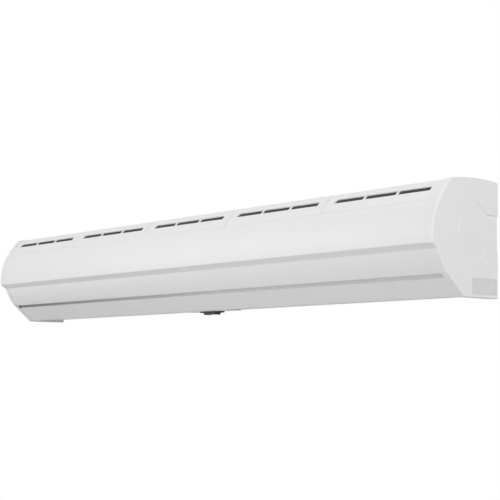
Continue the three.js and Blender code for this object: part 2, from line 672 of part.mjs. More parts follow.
// Drawn about the middle of the switch
function switchBase() {
  const { flangeLength, flangeWidth, flangeLow, top } = switchBox;
  const flange = box([-flangeLength / 2, flangeLength / 2], [-flangeWidth / 2, flangeWidth / 2],
    [flangeLow, panel.low - gap]);
  const body = box([-switchBody.x, switchBody.x], [-switchBody.y, switchBody.y], [flangeLow + overlap, top]);
  const half = rocker.width / 2 + gap;
  const cavity = box([-switchHalf, switchHalf], [-half, half], [flangeLow - beyond, switchCavityTop]);
  const pinHole = new THREE.CylinderGeometry(
    rockerPin.radius + gap, rockerPin.radius + gap, flangeWidth + beyond, flats.small);
  return cut(join(flange, body), cavity, pinHole.translate(0, 0, rocker.pivotHeight));
}

// Drawn about its pivot: the ends follow an arc round the pivot, so they clear the frame as it tips
function switchRocker() {
  const radius = rocker.length / 2;
  const low = Math.asin((rocker.bottomHeight - rocker.pivotHeight) / radius);
  const high = Math.asin((rocker.topHeight - rocker.pivotHeight) / radius);
  const stride = (high - low) / rockerEndSteps;
  const end = Array.from({ length: rockerEndSteps + 1 }, (_, i) => low + stride * i);
  const right = end.map((angle) => onCircle(angle, radius));
  const left = right.map((p) => new THREE.Vector2(-p.x, p.y)).reverse();
  const settings = { depth: rocker.width, bevelEnabled: false };
  const block = new THREE.ExtrudeGeometry(new THREE.Shape([...right, ...left]), settings);
  block.rotateX(Math.PI / 2).translate(0, rocker.width / 2, 0);
  const reach = rocker.width + 2 * rockerPin.length;
  const pin = new THREE.CylinderGeometry(rockerPin.radius, rockerPin.radius, reach, flats.small);
  return join(block, pin);
}

const capacitorHeight = underside + gap + capacitor.clipWall + gap + capacitor.radius;
const motorCapacitor = () =>
  rod(capacitor.radius, ...aboutMiddle(-capacitor.offset, capacitor.length), flats.medium);
const capacitorClip = () => ring(capacitor.radius + gap, capacitor.radius + gap + capacitor.clipWall,
  ...aboutMiddle(-capacitor.offset, capacitor.clipWidth), flats.medium);

const terminalTop = underside + gap + terminal.height;
const [terminalFrom, terminalTo] = aboutMiddle(terminal.offset, terminal.length);
function terminalBlock() {
  const { depth, width, poles, notch, sink } = terminal;
  const block = box([terminalFrom, terminalTo], aboutMiddle(-depth, width), [underside + gap, terminalTop]);
  const stride = terminal.length / poles;
  const notches = Array.from({ length: poles }, (_, i) => {
    const middle = terminalFrom + stride * (i + 0.5);
    const y = [-depth - width / 2 - beyond, -depth - notch / 2];
    return box(aboutMiddle(middle, notch), y, [terminalTop - sink, terminalTop + beyond]);
  });
  return cut(block, ...notches);
}

function motorLead() {
  const { drop, bend, aboveBlock } = motorRun;
  const x = terminalFrom + lead.fromEnd;
  const motorLow = fan.height - motor.radius - gap;
  return tubeAlong([
    [x, -fan.depth, motorLow],
    [x, -fan.depth, motorLow - drop],
    [x, -bend.depth, bend.height],
    [x, -terminal.depth, aboveBlock],
    [x, -terminal.depth, terminalTop + gap],
  ], lead.radius);
}
function switchLead() {
  const { startOffset, rise, firstBend, secondBend, aboveBlock } = switchRun;
  const x = terminalTo - lead.fromEnd;
  return tubeAlong([
    [startOffset, -switchBox.depth, switchBox.top + gap],
    [startOffset, -switchBox.depth, switchBox.top + rise],
    [firstBend.offset, -firstBend.depth, firstBend.height],
    [x - secondBend.beforeEnd, -secondBend.depth, secondBend.height],
    [x, -terminal.depth, aboveBlock],
    [x, -terminal.depth, terminalTop + gap],
  ], lead.radius);
}

// Drawn upright about the sheet that it sits in
function cableGrommet() {
  const { bore, groove, flange, flangeWall } = grommet;
  const half = sheet / 2 + gap;
  const edge = half + flangeWall;
  const profile = [
    [bore, -edge], [flange, -edge], [flange, -half], [groove, -half],
    [groove, half], [flange, half], [flange, edge], [bore, edge], [bore, -edge],
  ];
  return turned(profile, flats.medium).rotateY(-Math.PI / 2);
}

// Head inside the end plate, thread in the boss of the end cap
function capScrew() {
  const under = endPlateOuter - sheet - gap;
  const { radius, head, headHeight, length, tipGap } = screw;
  const tip = endPlateOuter + length - tipGap;
  return turned([[0, under - headHeight], [head, under - headHeight], [head, under], [radius, under],
    [radius, tip], [0, tip]], flats.small);
}

// ---------------------------------------------------------------------------
// Assembly
// ---------------------------------------------------------------------------
const group = new THREE.Group();
const finish = (color, roughness, metalness) => ({ color, roughness, metalness });
const whitePlastic = finish(0xf1f2f3, 0.38, 0);
const whiteSteel = finish(0xe9ebec, 0.42, 0.1);
const galvanised = finish(0xa9adb0, 0.45, 0.85);
const aluminium = finish(0xc3c6c9, 0.35, 0.9);
const blackPlastic = finish(0x16171a, 0.4, 0);
const rubber = finish(0x26272a, 0.85, 0);
const steel = finish(0x8f9499, 0.3, 0.95);
const greyPlastic = finish(0xcfd2d4, 0.5, 0);
const mesh = finish(0x4a4d50, 0.8, 0);

function place(name, geometry, look, x = 0, depth = 0, height = 0) {
  const piece = new THREE.Mesh(geometry, new THREE.MeshStandardMaterial(look));
  piece.name = name;
  piece.position.set(x, -depth, height);
  group.add(piece);
  return piece;
}
function placePair(name, geometry, look, depth = 0, height = 0) {
  place(`${name}_left`, mirrored(geometry), look, 0, depth, height);
  place(`${name}_right`, geometry, look, 0, depth, height);
}

place("wall_plate", wallMountingPlate(), galvanised);
place("rear_chassis", rearChassis(), whiteSteel);
placePair("end_plate", endPlate(), galvanised);
placePair("bulkhead", bulkheadPlate(), galvanised);
place("end_cap_left", mirrored(endCap(false)), whitePlastic);
place("end_cap_right", endCap(true), whitePlastic);
place("rating_plate", ratingPlateBody(), greyPlastic);
place("front_cover", frontCover(), whiteSteel);
place("outlet_fascia", outletFascia(), whiteSteel);
grilleCentres.forEach((x, i) => {
  place(`intake_grille_${i + 1}`, intakeGrille(), whitePlastic, x);
  place(`dust_filter_${i + 1}`, dustFilter(), mesh, x);
});
placePair("scroll_guide", scrollGuide(), galvanised);
placePair("vortex_tongue", vortexTongue(), galvanised);
placePair("outlet_frame", outletFrame(), whitePlastic);
for (const [name, depth] of Object.entries(louvreDepths)) {
  placePair(`louvre_${name}`, louvreBlade(), aluminium, depth, louvre.pivotHeight);
}
placePair("louvre_link", louvreLink(), blackPlastic, louvreDepths.front, louvre.pivotHeight + crank.height);

placePair("fan_wheel", fanWheel(), aluminium, fan.depth, fan.height);
place("motor_shaft", motorShaft(), steel, 0, fan.depth, fan.height);
placePair("end_shaft", endShaft(), steel, fan.depth, fan.height);
placePair("bearing", ballBearing(), steel, fan.depth, fan.height);
placePair("bearing_bush", bearingBush(), rubber, fan.depth, fan.height);
place("motor_housing", motorHousing(), galvanised, 0, fan.depth, fan.height);
placePair("motor_rubber_ring", rubberRing(), rubber, fan.depth, fan.height);
placePair("motor_bracket", motorBracket(), galvanised);

place("control_panel", controlPanel(), whitePlastic);
place("switch_base", switchBase(), blackPlastic, 0, switchBox.depth);
place("switch_rocker", switchRocker(), blackPlastic, 0, switchBox.depth, rocker.pivotHeight);
place("capacitor", motorCapacitor(), greyPlastic, 0, capacitor.depth, capacitorHeight);
place("capacitor_clip", capacitorClip(), galvanised, 0, capacitor.depth, capacitorHeight);
place("terminal_block", terminalBlock(), greyPlastic);
place("motor_lead", motorLead(), rubber);
place("switch_lead", switchLead(), rubber);
const inlet = place("cable_grommet", cableGrommet(), rubber, grommetOffset, -grommetPlace.x, grommetPlace.y);
inlet.rotation.x = grommetTilt;
placePair("cap_screw_upper", capScrew(), steel, upperScrew.depth, upperScrew.height);
placePair("cap_screw_lower", capScrew(), steel, lowerScrew.depth, lowerScrew.height);

group.position.z = -wallPlate.centreHeight;
export default group;
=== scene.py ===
# %% [markdown]
# # A wall-mounted air curtain
#
# An air curtain hangs over a doorway. Two long cross-flow fan wheels draw room air in through slots
# along the top of the front and blow it straight down through a narrow outlet. This lesson dresses
# a finished CAD model of one: the engineering shapes are loaded first, and each surface that a
# visitor sees is then modelled again with rounder edges and finer curves, and given a finish.
#
# Blender works in metres here. X runs along the unit, -Y is the front, and the wall is the plane
# Y = 0.

# %% Load the engineering model
import math

import bpy
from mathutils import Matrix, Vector
from mathutils.geometry import interpolate_bezier


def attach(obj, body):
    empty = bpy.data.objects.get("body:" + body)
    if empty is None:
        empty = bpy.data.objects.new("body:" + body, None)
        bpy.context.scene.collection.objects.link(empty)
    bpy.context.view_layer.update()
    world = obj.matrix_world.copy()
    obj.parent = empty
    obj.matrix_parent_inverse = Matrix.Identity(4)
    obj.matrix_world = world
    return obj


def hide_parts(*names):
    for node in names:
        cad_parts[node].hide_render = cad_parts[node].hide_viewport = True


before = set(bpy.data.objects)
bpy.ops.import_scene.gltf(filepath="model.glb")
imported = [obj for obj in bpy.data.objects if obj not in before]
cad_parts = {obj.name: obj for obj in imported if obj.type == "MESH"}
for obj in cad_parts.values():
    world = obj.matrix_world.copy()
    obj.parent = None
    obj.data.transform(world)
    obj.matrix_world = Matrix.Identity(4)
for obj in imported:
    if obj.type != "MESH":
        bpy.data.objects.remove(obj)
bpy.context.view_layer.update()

# %% [markdown]
# ## Camera
#
# The picture that we follow was taken from the right end, from a little below the unit, looking
# level. A level camera keeps upright edges upright. The frame is then slid up with the lens shift,
# as an architect's camera does, where tilting the camera would make the ends lean.

# %% Camera
camera_data = bpy.data.cameras.new("eye_level_camera")
camera_data.lens = 89.51
camera_data.sensor_width = 36
camera_data.shift_x = -0.003
camera_data.shift_y = 0.2466
camera = bpy.data.objects.new("eye_level_camera", camera_data)
camera.location = (2.1933, -1.9552, -0.2975)
camera.rotation_euler = (math.radians(90), 0, math.radians(47.661))
bpy.context.scene.collection.objects.link(camera)
bpy.context.scene.camera = camera
bpy.context.scene.view_settings.view_transform = "Standard"
print("camera at", tuple(round(c, 3) for c in camera.location))

# %% [markdown]
# ## Light
#
# White goods are photographed in a white tent: light comes from everywhere, a little more from
# above and in front, so that each curve turns slowly from white to pale grey and nothing casts a
# hard shadow. A pale floor low under the unit throws some light back up on its underside. The
# background is plain white only for the camera and in reflections, so it adds no light of its own.

# %% World, floor and lamps
world = bpy.data.worlds.new("white_tent")
bpy.context.scene.world = world
world.use_nodes = True
tent = world.node_tree.nodes
links = world.node_tree.links
fill = tent["Background"]
fill.inputs["Color"].default_value = (1, 1, 1, 1)
fill.inputs["Strength"].default_value = 0.06
backdrop = tent.new("ShaderNodeBackground")
backdrop.inputs["Color"].default_value = (1, 1, 1, 1)
backdrop.inputs["Strength"].default_value = 1.0
ray = tent.new("ShaderNodeLightPath")
seen_or_glossy = tent.new("ShaderNodeMath")
seen_or_glossy.operation = "MAXIMUM"
seen_at_all = tent.new("ShaderNodeMath")
seen_at_all.operation = "MAXIMUM"
mix = tent.new("ShaderNodeMixShader")
links.new(ray.outputs["Is Camera Ray"], seen_or_glossy.inputs[0])
links.new(ray.outputs["Is Glossy Ray"], seen_or_glossy.inputs[1])
links.new(seen_or_glossy.outputs[0], seen_at_all.inputs[0])
links.new(ray.outputs["Is Transmission Ray"], seen_at_all.inputs[1])
links.new(seen_at_all.outputs[0], mix.inputs["Fac"])
links.new(fill.outputs[0], mix.inputs[1])
links.new(backdrop.outputs[0], mix.inputs[2])
links.new(mix.outputs[0], tent["World Output"].inputs["Surface"])

bpy.ops.object.select_all(action="DESELECT")
bpy.ops.mesh.primitive_plane_add(size=5, location=(0, -0.3, -1.1))
floor = bpy.context.object
floor.name = "studio_floor"
floor_paint = bpy.data.materials.new("pale_floor")
floor_paint.use_nodes = True
floor_shader = floor_paint.node_tree.nodes["Principled BSDF"]
floor_shader.inputs["Base Color"].default_value = (0.8, 0.8, 0.8, 1)
floor_shader.inputs["Roughness"].default_value = 0.9
floor.data.materials.append(floor_paint)


def softbox(name, place, target, size, power):
    """A square lamp that faces the target."""
    lamp = bpy.data.lights.new(name, "AREA")
    lamp.energy = power
    lamp.size = size
    holder = bpy.data.objects.new(name, lamp)
    holder.location = place
    holder.rotation_euler = (Vector(target) - Vector(place)).to_track_quat("-Z", "Y").to_euler()
    bpy.context.scene.collection.objects.link(holder)
    print("lamp", name, power, "W")


unit_middle = (0, -0.1, -0.05)
softbox("lamp_in_front", (0, -3.2, 0.3), unit_middle, 2.4, 31)
softbox("lamp_front_left", (-2.0, -2.6, 0.9), unit_middle, 2.0, 20)
softbox("lamp_right", (3.2, -0.4, 0.6), unit_middle, 1.8, 50)
softbox("lamp_overhead", (0, -0.6, 2.4), unit_middle, 2.4, 31)
softbox("lamp_near_floor", (0.2, -2.0, -0.95), unit_middle, 1.6, 12)

# %% [markdown]
# ## Small helpers
#
# Everything below is modelled as by hand: start with a primitive, select part of it, extrude, bevel
# or cut. A script has no mouse, so parts are selected by where they are, which `pick` does.

# %% Helpers for selecting and finishing
MM = 0.001
kinds = {"vertices": "VERT", "edges": "EDGE", "polygons": "FACE"}


def fresh_start():
    """Object mode with nothing selected."""
    if bpy.context.object and bpy.context.object.mode != "OBJECT":
        bpy.ops.object.mode_set(mode="OBJECT")
    bpy.ops.object.select_all(action="DESELECT")


def only(piece):
    """This piece alone is selected and active."""
    fresh_start()
    piece.select_set(True)
    bpy.context.view_layer.objects.active = piece


def pick(piece, kind, wanted):
    """Opens the piece in edit mode with what is wanted selected, and counts it."""
    only(piece)
    mesh = piece.data
    for group in (mesh.vertices, mesh.edges, mesh.polygons):
        group.foreach_set("select", [False] * len(group))
    chosen = [item for item in getattr(mesh, kind) if wanted(item)]
    for item in chosen:
        item.select = True
    bpy.context.tool_settings.mesh_select_mode = [kind == k for k in kinds]
    bpy.ops.object.mode_set(mode="EDIT")
    return len(chosen)


def open_whole(piece):
    """Opens the piece in edit mode with all of it selected."""
    pick(piece, "polygons", lambda face: True)


def ends(piece, edge):
    """The two points of an edge."""
    return [piece.data.vertices[i].co for i in edge.vertices]


def named(name):
    """Names the piece that was just added."""
    piece = bpy.context.object
    piece.name = name
    piece.data.name = name
    return piece


def modify(piece, kind, **settings):
    """Adds a modifier and applies it."""
    only(piece)
    modifier = piece.modifiers.new(kind.lower(), kind)
    for key, value in settings.items():
        setattr(modifier, key, value)
    bpy.ops.object.modifier_apply(modifier=modifier.name)


def combine(piece, tool, operation):
    """Adds the tool to the piece or cuts it away, and throws the tool away."""
    modify(piece, "BOOLEAN", object=tool, operation=operation, solver="MANIFOLD")
    bpy.data.objects.remove(tool)


def soften(piece, width, segments=2, angle=35):
    """A small bevel on each sharp edge."""
    limit = math.radians(angle)
    modify(piece, "BEVEL", width=width, segments=segments, limit_method="ANGLE", angle_limit=limit)


def soften_ends(piece, width):
    """A small bevel round the two end faces of a piece that runs along the unit."""
    end_faces = [face for face in piece.data.polygons if abs(face.normal.x) > 0.9]
    rim = {key for face in end_faces for key in face.edge_keys}
    pick(piece, "edges", lambda e: tuple(sorted(e.vertices)) in rim)
    bpy.ops.mesh.bevel(offset=width, segments=2, clamp_overlap=True)
    fresh_start()


def settle(piece, angle=32):
    """Place and size go into the mesh, and gentle edges are shaded smooth."""
    only(piece)
    bpy.ops.object.transform_apply(location=True, rotation=True, scale=True)
    bpy.ops.object.shade_smooth_by_angle(angle=math.radians(angle))


def fit(piece, body, slot, material, *nodes):
    """Puts the finished piece on its body, with its finish, in place of any CAD nodes."""
    settle(piece)
    modify(piece, "WEIGHTED_NORMAL", keep_sharp=True)
    piece.data.materials.clear()
    piece.data.materials.append(material)
    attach(piece, body)
    if nodes:
        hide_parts(*nodes)
    print(piece.name, len(piece.data.polygons), "faces")


def twin(piece, name, mirror=False):
    """A copy with a mesh of its own, mirrored for the other end of the unit if mirror is set."""
    only(piece)
    bpy.ops.object.duplicate(linked=False)
    copy = named(name)
    if mirror:
        open_whole(copy)
        bpy.ops.transform.resize(value=(-1, 1, 1), center_override=(0, 0, 0))
        bpy.ops.mesh.flip_normals()
        fresh_start()
    return copy


def turn_upright(piece, angle, x):
    """Turns the whole piece about the upright line on the wall plane at x, in millimetres."""
    open_whole(piece)
    bpy.ops.transform.rotate(value=-angle, orient_axis="Z", center_override=(x * MM, 0, 0))
    fresh_start()


def move_by(piece, move):
    """Moves the whole mesh, in millimetres."""
    open_whole(piece)
    bpy.ops.transform.translate(value=[v * MM for v in move])
    fresh_start()


def round_corners(piece, axis, radius, segments=4):
    """Bevels the edges that run along one axis (0, 1 or 2), by a radius in millimetres."""
    def runs_along(edge):
        a, b = ends(piece, edge)
        return abs((a - b).normalized()[axis]) > 0.99
    pick(piece, "edges", runs_along)
    bpy.ops.mesh.bevel(offset=radius * MM, segments=segments)
    fresh_start()


def block(name, low, high):
    """A cube stretched between two corners, in millimetres."""
    fresh_start()
    middle = [(a + b) / 2 * MM for a, b in zip(low, high)]
    size = [(b - a) * MM for a, b in zip(low, high)]
    bpy.ops.mesh.primitive_cube_add(size=1, location=middle, scale=size)
    piece = named(name)
    bpy.ops.object.transform_apply(location=True, rotation=True, scale=True)
    return piece


def rod(name, radius, start, end, depth, height, sides=48):
    """A cylinder along the unit, in millimetres."""
    fresh_start()
    place = ((start + end) / 2 * MM, *spot(depth, height))
    bpy.ops.mesh.primitive_cylinder_add(
        vertices=sides, radius=radius * MM, depth=(end - start) * MM, location=place,
        rotation=(0, math.radians(90), 0))
    piece = named(name)
    bpy.ops.object.transform_apply(location=True, rotation=True, scale=True)
    return piece


# %% [markdown]
# ## The section
#
# The whole unit is one section drawn along 1.5 m: a flat arc over the top, a soft corner, a long
# curve down the front, a step inwards, a slightly crowned slope, a narrow groove and a straight
# slope to the underside. Depths are measured from the wall and heights from the bottom edge, as on
# the maker's drawing, and `spot` turns them into Blender's Y and Z.
#
# Most pieces are this section, or a strip of it, pulled along the unit. `slab` draws such an
# outline: a plane is merged to one point, the point is extruded from place to place, and the
# outline is filled and extruded. `bent_sheet` does it for a strip with an even wall, as sheet metal
# has.

# %% Points of the section
ORIGIN_HEIGHT = 155
TOP_BACK = (0, 222)
CROWN_RADIUS = 516.8
CORNER = (138.7, 219)
CORNER_PULL = (36.9, -37.1)
NOSE_PULL = (3.6, 47.2)
NOSE = (193.5, 95.3)
STEP = (177.6, 85.6)
FACET_RADIUS = 125
GROOVE_TOP = (151.7, 42.2)
GROOVE_BOTTOM = (146.8, 38)
BOTTOM_FRONT = (101, 0)
FAN_AXIS = (82, 123.2)
SEAM_HEIGHT = 178
GAP = 0.3
HALF_COVER = 732.7


def spot(depth, height):
    """Depth from the wall and height above the bottom edge, as Y and Z in metres."""
    return (-depth * MM, (height - ORIGIN_HEIGHT) * MM)


def arc(first, last, radius, count):
    """Points on an arc that bulges outwards from the first to the last."""
    a = Vector((-first[0], first[1]))
    b = Vector((-last[0], last[1]))
    half = (b - a) / 2
    rise = math.sqrt(radius**2 - half.length_squared)
    centre = a + half + Vector((-half.y, half.x)).normalized() * rise
    from_turn = math.atan2(*(a - centre).yx)
    to_turn = math.atan2(*(b - centre).yx)
    if to_turn < from_turn:
        to_turn += 2 * math.pi
    turns = [from_turn + (to_turn - from_turn) * i / count for i in range(count + 1)]
    return [(-centre.x - radius * math.cos(t), centre.y + radius * math.sin(t)) for t in turns]


crown = arc(TOP_BACK, CORNER, CROWN_RADIUS, 16)
pulled = (CORNER[0] + CORNER_PULL[0], CORNER[1] + CORNER_PULL[1])
pushed = (NOSE[0] + NOSE_PULL[0], NOSE[1] + NOSE_PULL[1])
curve = interpolate_bezier(*[Vector((*p, 0)) for p in (CORNER, pulled, pushed, NOSE)], 41)
front = [(p.x, p.y) for p in curve]
facet = arc(STEP, GROOVE_TOP, FACET_RADIUS, 10)


def between(points, axis, first, last):
    """The part of a line of points between two values of depth (axis 0) or height (axis 1)."""
    def cross(a, b, value):
        share = (value - a[axis]) / (b[axis] - a[axis])
        return tuple(a[i] + (b[i] - a[i]) * share for i in (0, 1))
    kept = []
    for a, b in zip(points, points[1:]):
        for value in (first, last):
            if min(a[axis], b[axis]) < value < max(a[axis], b[axis]):
                kept.append(cross(a, b, value))
        if min(first, last) <= b[axis] <= max(first, last):
            kept.append(b)
    if min(first, last) <= points[0][axis] <= max(first, last):
        kept.insert(0, points[0])
    kept.sort(key=lambda p: abs(p[axis] - first))
    # points closer together than 0.1 mm would make slivers
    spaced = [a for a, b in zip(kept, kept[1:]) if math.dist(a, b) > 0.1]
    return [*spaced, kept[-1]]


def inset(points, distance):
    """The same line, moved into the unit by a distance, with mitred corners."""
    moved = []
    for i, point in enumerate(points):
        here = Vector(point)
        before = here - Vector(points[max(i - 1, 0)])
        after = Vector(points[min(i + 1, len(points) - 1)]) - here
        sides = [Vector((v.y, -v.x)).normalized() for v in (before, after) if v.length > 1e-9]
        mitre = sum(sides, Vector((0, 0))).normalized()
        moved.append(tuple(here + mitre * distance / mitre.dot(sides[0])))
    return moved


print("section:", len(crown), "+", len(front), "+", len(facet), "points")

# %% Slabs and sheets drawn along the section


def slab(name, points, start, end):
    """A closed outline, drawn point by point, filled and pulled along the unit."""
    fresh_start()
    places = [Vector((start * MM, *spot(*p))) for p in points]
    bpy.ops.mesh.primitive_plane_add(size=1 * MM, location=(0, 0, 0))
    piece = named(name)
    pick(piece, "vertices", lambda v: True)
    bpy.ops.mesh.merge(type="CENTER")
    bpy.ops.transform.translate(value=places[0])
    for here, there in zip(places, places[1:]):
        bpy.ops.mesh.extrude_region_move(TRANSFORM_OT_translate={"value": there - here})
    bpy.ops.mesh.select_all(action="SELECT")
    bpy.ops.mesh.edge_face_add()
    bpy.ops.mesh.extrude_region_move(TRANSFORM_OT_translate={"value": ((end - start) * MM, 0, 0)})
    bpy.ops.mesh.select_all(action="SELECT")
    bpy.ops.mesh.normals_make_consistent(inside=False)
    fresh_start()
    return piece


def rounded(points, corners, radius, steps=4):
    """The same line with the given corners replaced by small arcs."""
    made = []
    for i, point in enumerate(points):
        if i not in corners:
            made.append(point)
            continue
        here = Vector(point)
        to_before = Vector(points[i - 1]) - here
        to_after = Vector(points[(i + 1) % len(points)]) - here
        reach = min(radius, to_before.length * 0.45, to_after.length * 0.45)
        a = here + to_before.normalized() * reach
        b = here + to_after.normalized() * reach
        for k in range(steps + 1):
            t = k / steps
            made.append(tuple(a * (1 - t) ** 2 + here * 2 * t * (1 - t) + b * t**2))
    return made


def bent_sheet(name, line, bends, radius, start, end, wall):
    """A sheet of even thickness that follows a line, rounded on the outside of its bends."""
    outside = rounded(line, bends, radius)
    inside = inset(line, wall)
    return slab(name, [*outside, *reversed(inside)], start, end)


# %% [markdown]
# ## Finishes
#
# No real surface is one flat colour. Each finish starts from the Principled shader and adds what
# the real one shows: moulded plastic has a fine spark-eroded grain, powder paint has a shallow
# orange peel, galvanised sheet has large crystal flowers, drawn aluminium has lines along its
# length. All patterns read Object coordinates, which are metres here, so a scale of 1000 is 1 mm.

# %% Material helpers


def finish(name, colour, roughness, metallic=0.0):
    """A Principled material and its node tree."""
    material = bpy.data.materials.new(name)
    material.use_nodes = True
    material.diffuse_color = (*colour, 1)
    shader = material.node_tree.nodes["Principled BSDF"]
    shader.inputs["Base Color"].default_value = (*colour, 1)
    shader.inputs["Roughness"].default_value = roughness
    shader.inputs["Metallic"].default_value = metallic
    print("finish", name)
    return material


def pattern(material, kind, scale=None, stretch=(1, 1, 1), shift=(0, 0, 0), **settings):
    """A texture on Object coordinates."""
    nodes = material.node_tree.nodes
    links = material.node_tree.links
    place = nodes.new("ShaderNodeTexCoord")
    mapping = nodes.new("ShaderNodeMapping")
    mapping.inputs["Scale"].default_value = stretch
    mapping.inputs["Location"].default_value = shift
    texture = nodes.new(kind)
    if scale:
        texture.inputs["Scale"].default_value = scale
    for key, value in settings.items():
        texture.inputs[key].default_value = value
    links.new(place.outputs["Object"], mapping.inputs["Vector"])
    links.new(mapping.outputs["Vector"], texture.inputs["Vector"])
    return texture


def colour_between(material, output, low, high, start=0.3, stop=0.7):
    """The pattern fades the base colour between two tones."""
    ramp = material.node_tree.nodes.new("ShaderNodeValToRGB")
    ramp.color_ramp.elements[0].position = start
    ramp.color_ramp.elements[0].color = (*low, 1)
    ramp.color_ramp.elements[1].position = stop
    ramp.color_ramp.elements[1].color = (*high, 1)
    shader = material.node_tree.nodes["Principled BSDF"]
    material.node_tree.links.new(output, ramp.inputs["Fac"])
    material.node_tree.links.new(ramp.outputs["Color"], shader.inputs["Base Color"])


def roughness_between(material, output, low, high):
    """The pattern moves the roughness between two values."""
    spread = material.node_tree.nodes.new("ShaderNodeMapRange")
    spread.inputs["To Min"].default_value = low
    spread.inputs["To Max"].default_value = high
    shader = material.node_tree.nodes["Principled BSDF"]
    material.node_tree.links.new(output, spread.inputs["Value"])
    material.node_tree.links.new(spread.outputs["Result"], shader.inputs["Roughness"])


def raised(material, output, height, strength=1.0):
    """The pattern lifts the surface by a height in metres, on top of any pattern before it."""
    tree = material.node_tree
    bump = tree.nodes.new("ShaderNodeBump")
    bump.inputs["Distance"].default_value = height
    bump.inputs["Strength"].default_value = strength
    shader = tree.nodes["Principled BSDF"]
    for link in list(shader.inputs["Normal"].links):
        tree.links.new(link.from_socket, bump.inputs["Normal"])
    tree.links.new(output, bump.inputs["Height"])
    tree.links.new(bump.outputs["Normal"], shader.inputs["Normal"])


# %% Finishes of plastic, paint and aluminium
plastic = finish("moulded_white_plastic", (0.83, 0.83, 0.83), 0.42)
tone = pattern(plastic, "ShaderNodeTexNoise", 14, Detail=3.0)
colour_between(plastic, tone.outputs["Fac"], (0.822, 0.822, 0.822), (0.845, 0.845, 0.845))
grain = pattern(plastic, "ShaderNodeTexNoise", 1600, Detail=2.0)
roughness_between(plastic, grain.outputs["Fac"], 0.36, 0.52)
raised(plastic, grain.outputs["Fac"], 0.00003, 0.5)

powder = finish("powder_coated_white_steel", (0.83, 0.83, 0.83), 0.34)
tone = pattern(powder, "ShaderNodeTexNoise", 5, Detail=4.0)
colour_between(powder, tone.outputs["Fac"], (0.828, 0.828, 0.828), (0.84, 0.84, 0.84))
peel = pattern(powder, "ShaderNodeTexNoise", 420, Detail=1.0)
raised(powder, peel.outputs["Fac"], 0.00005, 0.35)
fleck = pattern(powder, "ShaderNodeTexNoise", 2600, Detail=2.0)
roughness_between(powder, fleck.outputs["Fac"], 0.3, 0.42)

black = finish("black_switch_plastic", (0.012, 0.012, 0.013), 0.4)
tone = pattern(black, "ShaderNodeTexNoise", 300, Detail=3.0)
colour_between(black, tone.outputs["Fac"], (0.009, 0.009, 0.01), (0.02, 0.02, 0.022))
grain = pattern(black, "ShaderNodeTexNoise", 2200, Detail=2.0)
roughness_between(black, grain.outputs["Fac"], 0.32, 0.5)
raised(black, grain.outputs["Fac"], 0.00003, 0.5)

drawn = finish("drawn_aluminium", (0.62, 0.63, 0.64), 0.34, metallic=1.0)
lines = pattern(drawn, "ShaderNodeTexNoise", 900, stretch=(0.012, 1, 1), Detail=4.0)
colour_between(drawn, lines.outputs["Fac"], (0.55, 0.56, 0.575), (0.7, 0.71, 0.72))
roughness_between(drawn, lines.outputs["Fac"], 0.26, 0.44)
raised(drawn, lines.outputs["Fac"], 0.00002, 0.5)

# %% Finishes of steel, small parts and rubber
zinc = finish("galvanised_sheet", (0.5, 0.52, 0.54), 0.42, metallic=0.9)
flowers = pattern(zinc, "ShaderNodeTexVoronoi", 120)
colour_between(zinc, flowers.outputs["Distance"], (0.42, 0.44, 0.46), (0.6, 0.62, 0.64), 0.1, 0.9)
roughness_between(zinc, flowers.outputs["Distance"], 0.3, 0.55)
scratch = pattern(zinc, "ShaderNodeTexNoise", 700, stretch=(0.05, 1, 1), Detail=3.0)
raised(zinc, scratch.outputs["Fac"], 0.00002, 0.4)

turned_steel = finish("turned_steel", (0.42, 0.43, 0.44), 0.3, metallic=1.0)
rings = pattern(turned_steel, "ShaderNodeTexNoise", 1500, stretch=(1, 0.05, 0.05), Detail=3.0)
colour_between(turned_steel, rings.outputs["Fac"], (0.35, 0.36, 0.37), (0.5, 0.51, 0.52))
roughness_between(turned_steel, rings.outputs["Fac"], 0.22, 0.4)
raised(turned_steel, rings.outputs["Fac"], 0.00001, 0.5)

grey = finish("grey_moulding", (0.6, 0.61, 0.62), 0.5)
tone = pattern(grey, "ShaderNodeTexNoise", 60, Detail=3.0)
colour_between(grey, tone.outputs["Fac"], (0.56, 0.57, 0.58), (0.65, 0.66, 0.67))
grain = pattern(grey, "ShaderNodeTexNoise", 1800, Detail=2.0)
roughness_between(grey, grain.outputs["Fac"], 0.42, 0.6)
raised(grey, grain.outputs["Fac"], 0.00003, 0.5)

label = finish("silvered_label", (0.7, 0.7, 0.7), 0.38)
tone = pattern(label, "ShaderNodeTexNoise", 40, Detail=3.0)
colour_between(label, tone.outputs["Fac"], (0.68, 0.68, 0.68), (0.72, 0.72, 0.72))
brushed = pattern(label, "ShaderNodeTexNoise", 900, stretch=(1, 0.05, 1), Detail=2.0)
roughness_between(label, brushed.outputs["Fac"], 0.32, 0.48)
raised(label, brushed.outputs["Fac"], 0.00001, 0.4)

rubber = finish("black_rubber", (0.022, 0.022, 0.023), 0.75)
tone = pattern(rubber, "ShaderNodeTexNoise", 220, Detail=4.0)
colour_between(rubber, tone.outputs["Fac"], (0.016, 0.016, 0.017), (0.04, 0.04, 0.041))
roughness_between(rubber, tone.outputs["Fac"], 0.62, 0.86)
raised(rubber, tone.outputs["Fac"], 0.00006, 0.4)
